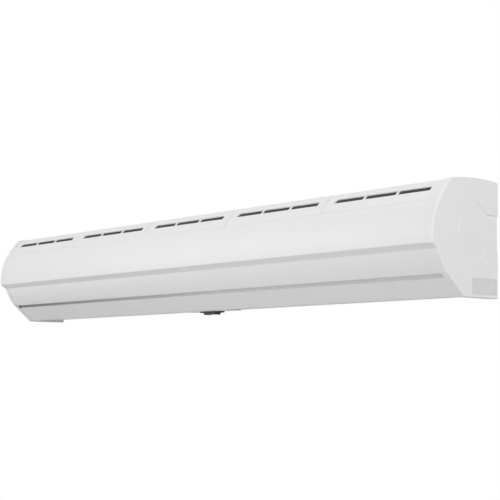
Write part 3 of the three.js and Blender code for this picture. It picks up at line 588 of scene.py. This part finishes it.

# %% [markdown]
# The grey foam strip in the groove stands in for the shadow under the cover's lip: its grey is
# painted shade. A gradient along the unit carries its tone from dark at the left to pale at the
# right, as painted shade where the groove's shadow is deeper; the mapping's scale and place say
# where it starts and ends. The filter net behind the slots is nearly black, so that the slots read
# as deep.

# %% Finishes of the painted-shade foam strip and the net
# Painted shade: where the darkening of the groove strip starts and how fast it runs along the unit.
PAINTED_SHADE_PER_METRE = 1.2
PAINTED_SHADE_START = 0.876
# Painted shade: the strip's grey stands for the groove's shadow and is darkest at the left end.
painted_shade_foam = finish("foam_strip_painted_groove_shade", (0.6, 0.6, 0.6), 0.9)
painted_shade_ramp = pattern(painted_shade_foam, "ShaderNodeTexGradient", stretch=(PAINTED_SHADE_PER_METRE, 1, 1),
                 shift=(PAINTED_SHADE_START, 0, 0))
colour_between(painted_shade_foam, painted_shade_ramp.outputs["Fac"], (0.24, 0.24, 0.24), (0.6, 0.6, 0.6), 0, 1)
cells = pattern(painted_shade_foam, "ShaderNodeTexVoronoi", 1500)
roughness_between(painted_shade_foam, cells.outputs["Distance"], 0.8, 0.95)
raised(painted_shade_foam, cells.outputs["Distance"], 0.0001, 0.5)

net = finish("dark_filter_net", (0.05, 0.053, 0.056), 0.8)
threads = pattern(net, "ShaderNodeTexVoronoi", 900).outputs["Distance"]
colour_between(net, threads, (0.05, 0.052, 0.055), (0.012, 0.013, 0.014), 0.2, 0.6)
roughness_between(net, threads, 0.65, 0.9)
raised(net, threads, 0.0003, 0.8)

# %% [markdown]
# ## What stays as the CAD model drew it
#
# Plates, brackets and shafts inside the case have the right shape already, so they keep it and
# only take a finish. Each finish is handed out by the first words of the piece's name.

# %% Hand the finishes out by the kind of piece
finish_of = {
    "end_cap intake_grille outlet_frame control_panel": plastic,
    "rear_chassis front_cover outlet_fascia": powder,
    "wall_plate end_plate bulkhead scroll_guide vortex_tongue": zinc,
    "motor_housing motor_bracket capacitor_clip": zinc,
    "louvre_front louvre_rear fan_wheel": drawn,
    "louvre_link switch_base switch_rocker": black,
    "rating_plate capacitor terminal_block": grey,
    "bearing_bush motor_rubber_ring motor_lead switch_lead cable_grommet": rubber,
    "motor_shaft end_shaft bearing cap_screw": turned_steel,
    "dust_filter": net,
}
paint_of = {word: paint for words, paint in finish_of.items() for word in words.split()}
for name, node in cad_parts.items():
    kind = max((word for word in paint_of if name.startswith(word)), key=len)
    node.data.materials.clear()
    node.data.materials.append(paint_of[kind])
print("finished", len(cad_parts), "nodes")

# %% [markdown]
# ## Front cover
#
# One sheet of painted steel, bent along the unit: the long front curve, a rounded nose, the step
# inwards, the crowned slope and a lip into the groove. The lip hangs a little lower than in
# the CAD model, which sets how wide the groove looks. A press brake bends every line straight over
# 1.5 m, and so does an outline that is pulled along X. A ledge behind the top edge carries the
# grilles.

# %% Front cover
PROUD = 1.5
COVER_WALL = 2.5
COVER_BEND = 1.8
EDGE_BEVEL = 0.3 * MM
LEDGE_WALL = 1.5
LEDGE_REACH = 8
LEDGE_OVERLAP = 0.5
LIP_DROP = 2
LIP_BACK = 138
lower_front = between(front, 1, SEAM_HEIGHT, NOSE[1])
before, last = [Vector(point) for point in facet[-2:]]
lip = last + (last - before) * LIP_DROP / (before.y - last.y)
cover_line = inset([*lower_front, *facet[:-1], tuple(lip), (LIP_BACK, lip.y)], PROUD)
bends = [len(lower_front) - 1, len(lower_front), len(lower_front) + len(facet) - 1]
cover = bent_sheet(
    "front_cover_sheet", cover_line, bends, COVER_BEND, -HALF_COVER, HALF_COVER, COVER_WALL)
ledge_line = between(front, 1, SEAM_HEIGHT + LEDGE_REACH, SEAM_HEIGHT - LEDGE_REACH)
ledge_line = inset(ledge_line, PROUD + COVER_WALL + GAP)
ledge = bent_sheet("ledge", ledge_line, [], 0, -HALF_COVER, HALF_COVER, LEDGE_WALL)
root_line = between(front, 1, SEAM_HEIGHT, SEAM_HEIGHT - LEDGE_REACH)
root_line = inset(root_line, PROUD + COVER_WALL - LEDGE_OVERLAP)
root = bent_sheet("ledge_root", root_line, [], 0, -HALF_COVER, HALF_COVER, LEDGE_WALL)
combine(cover, root, "UNION")
combine(cover, ledge, "UNION")
soften_ends(cover, EDGE_BEVEL)
fit(cover, "housing", "white_steel", powder, "front_cover")

# %% [markdown]
# ## Outlet fascia
#
# The lower slope is a separate panel that starts inside the groove, runs down to the bottom edge
# and turns under to meet the outlet. Its upper edge stops short of the cover's lip, and a strip of
# grey foam closes the gap: its grey is painted shade for the groove's shadow, and it shows as the
# grey line along the unit. The strip lies deeper towards the left, where the line is darker, and
# its material darkens it there as painted shade too.

# %% Outlet fascia
OUTLET_FRONT = 96
TURNED_UP = 16
FASCIA_BEND = 2.2
FASCIA_START = 0.87
flange_depth = OUTLET_FRONT + GAP - PROUD
slope = Vector(GROOVE_BOTTOM) - Vector(BOTTOM_FRONT)
start = Vector(BOTTOM_FRONT) + slope * FASCIA_START
fascia_line = [tuple(start), BOTTOM_FRONT, (flange_depth, 0), (flange_depth, TURNED_UP)]
fascia_line = inset(fascia_line, PROUD)
fascia = bent_sheet(
    "outlet_fascia_sheet", fascia_line, [1, 2], FASCIA_BEND, -HALF_COVER, HALF_COVER, COVER_WALL)
soften_ends(fascia, EDGE_BEVEL)
fit(fascia, "housing", "white_steel", powder, "outlet_fascia")
edge = Vector(fascia_line[0])
print("fascia starts at", edge, "and the lip's underside is at", lip.y + PROUD)

# %% Foam strip in the groove, grey as painted shade
STRIP_RECESS = 1
STRIP_DEEPER = 7
STRIP_PLAY = 0.2
along = slope.normalized()
inwards = Vector((-along.y, along.x))
foot_of_strip = edge + along * STRIP_PLAY
low_front = foot_of_strip + inwards * STRIP_RECESS
low_back = foot_of_strip + inwards * (COVER_WALL + GAP)
top = lip.y + PROUD - STRIP_PLAY
high_front = low_front + along * (top - low_front.y) / along.y
painted_shade_strip_outline = [tuple(low_front), tuple(high_front), (LIP_BACK + 1, top), tuple(low_back)]
# This strip's grey is painted shade standing in for the groove's shadow.
painted_shade_strip = slab("groove_painted_shade_strip", painted_shade_strip_outline, -HALF_COVER, HALF_COVER)
moves_at_left = (
    (low_front, inwards * (COVER_WALL - STRIP_RECESS)), (high_front, Vector((-STRIP_DEEPER, 0))))
for corner, move in moves_at_left:
    pick(painted_shade_strip, "vertices", lambda v: v.co.x < 0 and math.dist(v.co.yz, spot(*corner)) < 1e-5)
    bpy.ops.transform.translate(value=(0, -move.x * MM, move.y * MM))
    fresh_start()
# The strip's finish paints the groove's shade: grey, and darker towards the left end.
fit(painted_shade_strip, "housing", "rubber", painted_shade_foam)

# %% [markdown]
# ## Intake grilles
#
# Five moulded panels lie side by side over the fan. Each has a front row of three slots under the
# top corner, which the picture shows, and four rows over the top, which show only from above. One
# panel is bent and pierced, and five copies of it make the row.

# %% Intake grille
GRILLE_PITCH = 293.2
GRILLE_SEAM = 1
GRILLE_BACK = 50.3
GRILLE_BEND = 3.5
half_grille = (GRILLE_PITCH - GRILLE_SEAM) / 2
over_top = between(crown, 0, GRILLE_BACK, CORNER[0])
down_front = between(front, 1, CORNER[1], SEAM_HEIGHT + GAP)
grille_line = inset([*over_top, *down_front[1:]], PROUD)
top_bend = [len(over_top) - 1]
grille = bent_sheet(
    "intake_grille_panel", grille_line, top_bend, GRILLE_BEND, -half_grille, half_grille,
    COVER_WALL)

# %% Slots
SLOT_LENGTH = 79.5
SLOT_STRIDE = 84.5
SLOT_CORNER = 2.2
SLOT_TAPER = 6
TOOL_LENGTH = 16
FRONT_SLOT_HEIGHT = 202.5
FRONT_SLOT_WIDTH = 10.8
TOP_SLOT_WIDTH = 9
TOP_ROW_DEPTHS = (66, 84, 102, 120)


def slot_cutter(depth, height, slope, width, x, taper=0):
    """A rounded tool through the sheet, turned to stand on it. A taper cuts its top left corner."""
    fresh_start()
    size = (SLOT_LENGTH * MM, width * MM, TOOL_LENGTH * MM)
    bpy.ops.mesh.primitive_cube_add(size=1, location=(0, 0, 0), scale=size)
    tool = named("slot_tool")
    bpy.ops.object.transform_apply(location=True, rotation=True, scale=True)
    pick(tool, "vertices", lambda v: v.co.x < 0 and v.co.y > 0)
    bpy.ops.transform.translate(value=(taper * MM, 0, 0))
    fresh_start()
    round_corners(tool, 2, SLOT_CORNER)
    tool.rotation_euler = (slope, 0, 0)
    tool.location = (x * MM, *spot(depth, height))
    only(tool)
    bpy.ops.object.transform_apply(location=True, rotation=True, scale=True)
    return tool


def slope_at(points, axis, value):
    """Where the line crosses a value, and how steeply it lies there."""
    for a, b in zip(points, points[1:]):
        if min(a[axis], b[axis]) <= value <= max(a[axis], b[axis]):
            share = (value - a[axis]) / (b[axis] - a[axis])
            here = [a[i] + (b[i] - a[i]) * share for i in (0, 1)]
            return here, math.atan2(a[1] - b[1], b[0] - a[0])
    raise ValueError("the line doesn't reach that value")


slot_rows = [slope_at(front, 1, FRONT_SLOT_HEIGHT) + (FRONT_SLOT_WIDTH,)]
slot_rows += [slope_at(crown, 0, depth) + (TOP_SLOT_WIDTH,) for depth in TOP_ROW_DEPTHS]
for (depth, height), slope, width in slot_rows:
    for column in (-1, 0, 1):
        taper = SLOT_TAPER if column == -1 and depth > CORNER[0] else 0
        tool = slot_cutter(depth, height, slope, width, column * SLOT_STRIDE, taper)
        combine(grille, tool, "DIFFERENCE")
soften(grille, EDGE_BEVEL, 2, 50)
settle(grille)

# %% Five grilles in a row
for number in range(1, 6):
    copy = twin(grille, f"intake_grille_{number}_panel")
    move_by(copy, ((number - 3) * GRILLE_PITCH, 0, 0))
    fit(copy, "housing", "white_plastic", plastic, f"intake_grille_{number}")
bpy.data.objects.remove(grille)

# %% [markdown]
# ## End caps
#
# The caps close the ends and wrap 17 mm round the covers, standing 1.5 mm proud of them. Each is
# drawn as the outline of the section, pulled out, trimmed by a slanting cut, rounded round its
# edge, and hollowed from the inside with an inset. A round pad and a shallow channel mark where
# the bearing sits. Both are drawn parallel to the cap's end and turned by about a degree, so that
# they fade out towards the front as the real ones do. A rib along the inside of the foot closes the
# hollow there.

# %% End caps
CAP_START = 733
CAP_END = 750
CAP_LEAN = 3
CAP_WALL = 2.5
CAP_HOLLOW = 11.5
CAP_CORNER = 1.6
CAP_BEVEL = 2.2
lean = CAP_LEAN / NOSE[0]
LEAN_ANGLE = math.atan(lean)
outline = [*crown[:-1], *front, *facet, GROOVE_BOTTOM, BOTTOM_FRONT, (0, 0)]
corners = [len(crown) - 1, len(crown) + len(front) - 2, len(crown) + len(front) - 1]
corners += [len(outline) - 4, len(outline) - 3, len(outline) - 2]
outline = rounded(outline, corners, CAP_CORNER, 3)
cap = slab("end_cap_right_shell", outline, CAP_START, CAP_END)
open_whole(cap)
bpy.ops.mesh.bisect(
    plane_co=(CAP_END * MM, 0, 0), plane_no=(1, -lean, 0), use_fill=True, clear_outer=True)
fresh_start()
rim = {key for face in cap.data.polygons if face.normal.x > 0.9 for key in face.edge_keys}
picked = pick(cap, "edges", lambda e: tuple(sorted(e.vertices)) in rim)
bpy.ops.mesh.bevel(offset=CAP_BEVEL * MM, segments=4, profile=0.5)
fresh_start()
print("rounded", picked, "edges of the cap's face")
pick(cap, "polygons", lambda face: face.normal.x < -0.9)
bpy.ops.mesh.inset(thickness=CAP_WALL * MM, use_even_offset=True)
bpy.ops.mesh.extrude_region_move(TRANSFORM_OT_translate={"value": (CAP_HOLLOW * MM, 0, 0)})
fresh_start()
settle(cap)

# %% Pad and channel of the caps
fan_depth, fan_height = FAN_AXIS
RELIEF_PLANE = 746.8
POCKET = 56.3
POCKET_FLARE = 1.05
POCKET_TURN = 0.0105
CHANNEL_BACK = -4
CHANNEL_NECK = 30
CHANNEL_HALF = 34.5
PAD = 36.6
PAD_START = 744
PAD_TURN = 0.0225
PAD_BEVEL = 1.3
turn = math.pi - math.asin(CHANNEL_HALF / POCKET)
round_front = [
    (fan_depth + POCKET * math.cos(a), fan_height + POCKET * math.sin(a))
    for a in (turn - 2 * turn * i / 40 for i in range(41))]
high, low = fan_height + CHANNEL_HALF, fan_height - CHANNEL_HALF
channel = [(CHANNEL_BACK, high), (CHANNEL_NECK, high), *round_front]
channel += [(CHANNEL_NECK, low), (CHANNEL_BACK, low)]
channel = rounded(channel, [1, 2, len(channel) - 3, len(channel) - 2], 6)
pocket = slab("pocket_tool", channel, RELIEF_PLANE, CAP_END + 1)
pick(pocket, "polygons", lambda face: face.normal.x > 0.9)
bpy.ops.transform.resize(
    value=(1, POCKET_FLARE, POCKET_FLARE), center_override=(CAP_END * MM, *spot(*FAN_AXIS)))
fresh_start()
turn_upright(pocket, POCKET_TURN, RELIEF_PLANE)
combine(cap, pocket, "DIFFERENCE")
pad = rod("pad", PAD, PAD_START, RELIEF_PLANE, *FAN_AXIS, sides=96)
pick(pad, "polygons", lambda face: face.normal.x > 0.9)
bpy.ops.mesh.bevel(offset=PAD_BEVEL * MM, segments=3)
fresh_start()
turn_upright(pad, PAD_TURN, RELIEF_PLANE)
combine(cap, pad, "UNION")

# %% Bosses and foot of the caps
BOSSES = ((120, 190), (20, 30))
BOSS_RADIUS = 5
BOSS_ENDS = (731.3, 746)
PILOT_RADIUS = 2.2
PILOT_ENDS = (730, 744.7)
FOOT_ENDS = (CAP_START + 0.1, 745)
FOOT_DEPTHS = (2, 98)
FOOT_HEIGHTS = (1.5, 8)


def span(name, x, depths, heights):
    """A block between two X, two depths and two heights."""
    low = (x[0], -depths[1], heights[0] - ORIGIN_HEIGHT)
    high = (x[1], -depths[0], heights[1] - ORIGIN_HEIGHT)
    return block(name, low, high)


for depth, height in BOSSES:
    combine(cap, rod("boss", BOSS_RADIUS, *BOSS_ENDS, depth, height, 32), "UNION")
    combine(cap, rod("pilot", PILOT_RADIUS, *PILOT_ENDS, depth, height, 24), "DIFFERENCE")
combine(cap, span("foot", FOOT_ENDS, FOOT_DEPTHS, FOOT_HEIGHTS), "UNION")
print("cap", len(cap.data.polygons), "faces")

# %% [markdown]
# A faint crease runs across the cap's face, where two planes of the mould meet. Its tool is a strip
# whose inner side is drawn together to a line. The groove between the cover and the fascia carries
# on over the cap's edge as a notch, and the right cap has a shallow seat for the rating plate.

# %% Crease and notch
CREASE_DEEP = 0.4
CREASE_HALF = 5
NOTCH = [(148.1, 40.6), (150.9, 37.6), (146.4, 33.8), (143.6, 37)]
crease_line = [(173.7, 148.3), (126.7, 153.4), (-4, 175.2)]
above = CREASE_HALF * (1 + 1 / CREASE_DEEP)
crease_strip = [crease_line[0], *[(d, h + above) for d, h in crease_line[1:]]]
crease_strip += [(d, h - above) for d, h in reversed(crease_line[1:])]
crease = slab("crease_tool", crease_strip, CAP_END - CREASE_DEEP, CAP_END + 1)
for side in (1, -1):
    edge_of_strip = [spot(d, h + side * above) for d, h in crease_line[1:]]
    pick(crease, "vertices", lambda v: v.co.x < CAP_END * MM and any(
        math.dist(v.co.yz, place) < 1e-5 for place in edge_of_strip))
    bpy.ops.transform.translate(value=(0, 0, -side * above * MM))
    fresh_start()
pick(crease, "vertices", lambda v: True)
bpy.ops.mesh.remove_doubles(threshold=1e-5)
fresh_start()
turn_upright(crease, -LEAN_ANGLE, CAP_END)
combine(cap, crease, "DIFFERENCE")
combine(cap, slab("notch_tool", NOTCH, CAP_START - 3, CAP_END + 1), "DIFFERENCE")
left_cap = twin(cap, "end_cap_left_shell", mirror=True)

# %% Seat of the rating plate
PLATE_DEPTHS = (6, 79)
PLATE_HEIGHTS = (6.5, 36.5)


def plate_blank(name, inner, outer, spare, radius):
    """A block in the place of the rating plate, with round corners, leaning with the cap's face."""
    low = (CAP_END + inner, -PLATE_DEPTHS[1] - spare, PLATE_HEIGHTS[0] - spare - ORIGIN_HEIGHT)
    high = (CAP_END + outer, -PLATE_DEPTHS[0] + spare, PLATE_HEIGHTS[1] + spare - ORIGIN_HEIGHT)
    piece = block(name, low, high)
    round_corners(piece, 0, radius)
    turn_upright(piece, -LEAN_ANGLE, CAP_END)
    return piece


combine(cap, plate_blank("seat_tool", -1.2, 3, GAP, 2.3), "DIFFERENCE")
fit(cap, "housing", "white_plastic", plastic, "end_cap_right")
fit(left_cap, "housing", "white_plastic", plastic, "end_cap_left")

# %% [markdown]
# ## Rating plate
#
# A thin plate with a fine raised border. It is left bare: a real one carries print.

# %% Rating plate
plate = plate_blank("rating_plate_sheet", -0.9, -0.2, 0, 2)
pick(plate, "polygons", lambda face: face.normal.x > 0.9)
bpy.ops.mesh.inset(thickness=1 * MM)
bpy.ops.mesh.extrude_region_move(TRANSFORM_OT_translate={"value": (-0.12 * MM, 0, 0)})
fresh_start()
fit(plate, "housing", "grey_plastic", label, "rating_plate")

# %% [markdown]
# ## Switch
#
# A rocker in a flanged frame. The rocker's ends lie on an arc round its pivot, so that they clear
# the frame as it tips, and its face is hollow for a fingertip.

# %% Switch frame
SWITCH_DEPTH = 80
PIVOT_HEIGHT = 2


def switch_block(name, half_length, half_width, low, high):
    """A block about the middle of the switch."""
    return block(name, (-half_length, -SWITCH_DEPTH - half_width, low - ORIGIN_HEIGHT),
                 (half_length, -SWITCH_DEPTH + half_width, high - ORIGIN_HEIGHT))


def cross_pin(name, radius, half):
    """A round bar from front to back through the rocker's pivot."""
    pin = rod(name, radius, -half, half, 0, PIVOT_HEIGHT, 24)
    turn_upright(pin, math.radians(90), 0)
    move_by(pin, (0, -SWITCH_DEPTH, 0))
    return pin


frame_piece = switch_block("switch_frame", 30.5, 13, -2.2, 0.7)
round_corners(frame_piece, 2, 3)
pick(frame_piece, "polygons", lambda face: face.normal.z < -0.9)
bpy.ops.mesh.bevel(offset=0.9 * MM, segments=3)
fresh_start()
body_block = switch_block("switch_body", 22.6, 11.1, -1.7, 24)
round_corners(body_block, 2, 0.8, 2)
combine(frame_piece, body_block, "UNION")
opening = switch_block("opening_tool", 20.8, 9.3, -7, 10)
round_corners(opening, 2, 0.4, 2)
combine(frame_piece, opening, "DIFFERENCE")
combine(frame_piece, cross_pin("pin_hole", 1.8, 15), "DIFFERENCE")
fit(frame_piece, "housing", "black_plastic", black, "switch_base")

# %% Rocker
ROCKER_RADIUS = 20.5
ROCKER_DISH = 1.1
ROCKER_LOW = -7
ROCKER_HIGH = 5
ROCKER_HALF = 9
ROCKER_LIP = 0.8
low_turn = math.asin((ROCKER_LOW - PIVOT_HEIGHT) / ROCKER_RADIUS)
high_turn = math.asin((ROCKER_HIGH - PIVOT_HEIGHT) / ROCKER_RADIUS)
turns = [low_turn + (high_turn - low_turn) * i / 10 for i in range(11)]
right_end = [
    (ROCKER_RADIUS * math.cos(t), PIVOT_HEIGHT + ROCKER_RADIUS * math.sin(t)) for t in turns]
left_end = [(-x, z) for x, z in reversed(right_end)]
reach = right_end[0][0] - ROCKER_LIP
shares = [i / 8 - 1 for i in range(17)]
dish = [(reach * share, ROCKER_LOW + ROCKER_DISH * (1 - share**2)) for share in shares]
rocker = slab("switch_rocker_key", [*right_end, *left_end, *dish], -ROCKER_HALF, ROCKER_HALF)
turn_upright(rocker, math.radians(90), 0)
move_by(rocker, (0, -SWITCH_DEPTH, 0))
soften(rocker, 0.35 * MM)
combine(rocker, cross_pin("rocker_pin", 1.5, 10.7), "UNION")
fit(rocker, "rocker", "black_plastic", black, "switch_rocker")

# %% [markdown]
# ## Control panel
#
# A stepped plate closes the middle of the underside between the two outlets and holds the switch.

# %% Control panel
PANEL_HALF = 80.8
panel_outline = [(OUTLET_FRONT, 1), (OUTLET_FRONT, 4), (64, 4), (64, 7), (35, 7), (35, 5)]
panel_outline += [(62, 5), (62, 1)]
panel_outline = rounded(panel_outline, [0, 3, 6, 7], 1.2)
panel = slab("control_panel_plate", panel_outline, -PANEL_HALF, PANEL_HALF)
soften_ends(panel, EDGE_BEVEL)
window = switch_block("window_tool", 22.9, 11.4, -2, 12)
round_corners(window, 2, 1, 2)
combine(panel, window, "DIFFERENCE")
fit(panel, "housing", "white_plastic", plastic, "control_panel")

# %% [markdown]
# ## Outlets
#
# Each outlet is a long moulded frame. Two slim louvres hang in it on end pins, and a small link
# joins their cranks, so that they turn together. The left side is the right side mirrored.

# %% Outlet frame
BAY = (85.1, 725.2)
LOUVRE_HEIGHT = 24
LOUVRE_DEPTHS = {"front": 77.5, "rear": 53.5}
OUTLET_ENDS = (81.1, 729.2)
OUTLET_BACK = 35
OUTLET_HEIGHTS = (7, 40)
OUTLET_WALL = 3.5
PIN_HOLE = 2.3
duct_depths = (OUTLET_BACK + OUTLET_WALL, OUTLET_FRONT - OUTLET_WALL)
outlet = span(
    "outlet_frame_right_moulding", OUTLET_ENDS, (OUTLET_BACK, OUTLET_FRONT), OUTLET_HEIGHTS)
duct = span("duct_tool", BAY, duct_depths, (0, 50))
round_corners(duct, 2, 2.5)
combine(outlet, duct, "DIFFERENCE")
for depth in LOUVRE_DEPTHS.values():
    for start, end in ((80, 86), (724, 730)):
        hole = rod("pin_hole", PIN_HOLE, start, end, depth, LOUVRE_HEIGHT, 24)
        combine(outlet, hole, "DIFFERENCE")
soften(outlet, EDGE_BEVEL, 3, 50)
left = twin(outlet, "outlet_frame_left_moulding", mirror=True)
fit(outlet, "housing", "white_plastic", plastic, "outlet_frame_right")
fit(left, "housing", "white_plastic", plastic, "outlet_frame_left")

# %% Louvres
CHORD = 22
BULGE = 1.35
EDGE_HALF = 0.15
CRANK = 8
BLADE = (87.7, 724.8)
PINS = ((2, 81.4, 88.2, 0), (2, 724.3, 728.9, 0), (1.2, 85.5, 88.2, CRANK))
depth = LOUVRE_DEPTHS["front"]
shares = [i / 6 - 1 for i in range(13)]
half_profile = [(BULGE * (1 - t * t) + EDGE_HALF, CHORD / 2 * t) for t in shares]
blade_outline = [(depth + w, LOUVRE_HEIGHT + h) for w, h in half_profile]
blade_outline += [(depth - w, LOUVRE_HEIGHT + h) for w, h in reversed(half_profile)]
louvre = slab("louvre_front_right_blade", blade_outline, *BLADE)
soften_ends(louvre, 0.25 * MM)
for radius, start, end, above in PINS:
    pin = rod("louvre_pin", radius, start, end, depth, LOUVRE_HEIGHT + above, 24)
    soften_ends(pin, 0.2 * MM)
    combine(louvre, pin, "UNION")
rear = twin(louvre, "louvre_rear_right_blade")
move_by(rear, (0, depth - LOUVRE_DEPTHS["rear"], 0))
for blade, row in ((louvre, "front"), (rear, "rear")):
    left = twin(blade, f"louvre_{row}_left_blade", mirror=True)
    fit(blade, f"louvre_{row}_right", "aluminium", drawn, f"louvre_{row}_right")
    fit(left, f"louvre_{row}_left", "aluminium", drawn, f"louvre_{row}_left")

# %% Louvre links
LINK_HEIGHT = LOUVRE_HEIGHT + CRANK
LINK_EYE = 3
LINK_ENDS = (85.5, 87.3)
front_eye, rear_eye = LOUVRE_DEPTHS["front"], LOUVRE_DEPTHS["rear"]
turns = [math.pi * i / 12 for i in range(13)]
round_end = [(LINK_EYE * math.sin(t), LINK_EYE * math.cos(t)) for t in turns]
front_end = [(front_eye + x, LINK_HEIGHT + z) for x, z in round_end]
rear_end = [(rear_eye - x, LINK_HEIGHT - z) for x, z in round_end]
waist = [(59, 2.1), (72, 2.1)]
link_outline = [*front_end, *[(d, LINK_HEIGHT - w) for d, w in reversed(waist)]]
link_outline += [*rear_end, *[(d, LINK_HEIGHT + w) for d, w in waist]]
link = slab("louvre_link_right_bar", link_outline, *LINK_ENDS)
soften_ends(link, 0.2 * MM)
for depth in LOUVRE_DEPTHS.values():
    combine(link, rod("link_hole", 1.5, 85, 88, depth, LINK_HEIGHT, 24), "DIFFERENCE")
left = twin(link, "louvre_link_left_bar", mirror=True)
fit(link, "louvre_link_right", "black_plastic", black, "louvre_link_right")
fit(left, "louvre_link_left", "black_plastic", black, "louvre_link_left")

# %% [markdown]
# ## Fan wheels
#
# Each wheel is a cage of thin curved blades between end discs, with support rings along it. The CAD
# model has few blades, to keep it light. Here one blade is spun into the full set.

# %% Fan wheels
FAN = (90, 716)
FAN_RADIUS = 52
BLADES = 36
BLADE_HALF = 0.35
BLADE_RADII_AND_LEANS = ((42, 0), (44.5, 0.02), (47, 0.048), (49.5, 0.096), (51.5, 0.15))
SUPPORT_RINGS = 7
RING_HOLE = 43
DISC_WIDTH = 2.5
HUB_RADIUS = 11
HUB_WIDTH = 14
SHAFT_HOLE = 5.3


def blade_side(half):
    """One side of the fan blade's section, which leans forward towards its tip."""
    points = []
    for radius, lean in BLADE_RADII_AND_LEANS:
        turn = lean + half / radius
        points.append((fan_depth - radius * math.cos(turn), fan_height + radius * math.sin(turn)))
    return points


blade = [*blade_side(-BLADE_HALF), *reversed(blade_side(BLADE_HALF))]
wheel = slab("fan_wheel_right_cage", blade, FAN[0] + 1, FAN[1] - 1)
open_whole(wheel)
bpy.ops.mesh.spin(steps=BLADES - 1, dupli=True, angle=2 * math.pi * (BLADES - 1) / BLADES,
                  center=(0, *spot(*FAN_AXIS)), axis=(1, 0, 0))
fresh_start()
bay = (FAN[1] - FAN[0]) / (SUPPORT_RINGS + 1)
ring = rod("support_ring", FAN_RADIUS, FAN[0] + bay - 1, FAN[0] + bay + 1, *FAN_AXIS, sides=96)
combine(ring, rod("ring_hole", RING_HOLE, *FAN, *FAN_AXIS, sides=96), "DIFFERENCE")
open_whole(ring)
for number in range(SUPPORT_RINGS - 1):
    bpy.ops.mesh.duplicate_move(TRANSFORM_OT_translate={"value": (bay * MM, 0, 0)})
fresh_start()
combine(wheel, ring, "UNION")
for disc_start, hub_start in ((FAN[0], FAN[0]), (FAN[1] - DISC_WIDTH, FAN[1] - HUB_WIDTH)):
    disc = rod("end_disc", FAN_RADIUS, disc_start, disc_start + DISC_WIDTH, *FAN_AXIS, sides=96)
    soften_ends(disc, 0.5 * MM)
    hub = rod("hub", HUB_RADIUS, hub_start, hub_start + HUB_WIDTH, *FAN_AXIS, sides=48)
    soften_ends(hub, 0.5 * MM)
    combine(disc, hub, "UNION")
    combine(wheel, disc, "UNION")
shaft_hole = rod("shaft_hole", SHAFT_HOLE, FAN[0] - 1, FAN[1] + 1, *FAN_AXIS, sides=32)
combine(wheel, shaft_hole, "DIFFERENCE")
left = twin(wheel, "fan_wheel_left_cage", mirror=True)
fit(wheel, "fan_rotor", "aluminium", drawn, "fan_wheel_right")
fit(left, "fan_rotor", "aluminium", drawn, "fan_wheel_left")

# %% [markdown]
# ## Wall plate and cable inlet
#
# The unit hangs on a pressed steel plate by two hooks. A supply lead would enter through the rubber
# grommet in the top of the chassis. The grommet is drawn as half a section and spun round.

# %% Wall plate
HOOKS_AT = (-400, 400)
HOOK_HALF = 18
BOLTS_AT = (-480, -160, 160, 480)
BOLT_HEIGHTS = (120, 190)
BOLT_HOLE = 4
wall_plate = span("wall_plate_sheet", (-600, 600), (0, 2), (100, 210))
round_corners(wall_plate, 1, 8)
hook_section = [(1, 190), (8, 190), (8, 204), (6.5, 204), (6.5, 191.5), (1, 191.5)]
hook_section = rounded(hook_section, [1, 4], 1.2)
for x in HOOKS_AT:
    hook = slab("hook", hook_section, x - HOOK_HALF, x + HOOK_HALF)
    round_corners(hook, 1, 2)
    combine(wall_plate, hook, "UNION")
for x in BOLTS_AT:
    for height in BOLT_HEIGHTS:
        hole = rod("bolt_hole", BOLT_HOLE, -5, 5, 0, height, 32)
        turn_upright(hole, math.radians(90), 0)
        move_by(hole, (x, 0, 0))
        combine(wall_plate, hole, "DIFFERENCE")
soften(wall_plate, 0.2 * MM)
fit(wall_plate, "housing", "galvanised", zinc, "wall_plate")

# %% Cable grommet
GROMMET_X = 690
GROMMET_DEPTH = 25
SHEET = 1.5
SUNK_MORE = 0.05
flange = -SHEET / 2 - GAP
half_section = [(6, flange - 1.1), (6.4, flange - 1.5), (12.4, flange - 1.5)]
half_section += [(13, flange - 0.9), (13, flange), (9, flange)]
half_section += [(r, -h) for r, h in reversed(half_section)]
fresh_start()
bpy.ops.mesh.primitive_plane_add(size=1 * MM, location=(0, 0, 0))
grommet = named("cable_grommet_ring")
pick(grommet, "vertices", lambda v: True)
bpy.ops.mesh.merge(type="CENTER")
bpy.ops.transform.translate(value=(half_section[0][0] * MM, 0, half_section[0][1] * MM))
for (r0, h0), (r1, h1) in zip(half_section, half_section[1:]):
    move = ((r1 - r0) * MM, 0, (h1 - h0) * MM)
    bpy.ops.mesh.extrude_region_move(TRANSFORM_OT_translate={"value": move})
fresh_start()
first, last = 0, len(half_section) - 1
pick(grommet, "vertices", lambda v: v.index in (first, last))
bpy.ops.mesh.edge_face_add()
bpy.ops.mesh.select_all(action="SELECT")
bpy.ops.mesh.spin(steps=48, angle=2 * math.pi, center=(0, 0, 0), axis=(0, 0, 1))
bpy.ops.mesh.select_all(action="SELECT")
bpy.ops.mesh.remove_doubles(threshold=1e-6)
bpy.ops.mesh.normals_make_consistent(inside=False)
fresh_start()
(depth, height), slope = slope_at(crown, 0, GROMMET_DEPTH)
sunk = PROUD + SHEET / 2 + SUNK_MORE
place = spot(depth - sunk * math.sin(slope), height - sunk * math.cos(slope))
grommet.rotation_euler = (slope, 0, 0)
grommet.location = (GROMMET_X * MM, *place)
fit(grommet, "housing", "rubber", rubber, "cable_grommet")
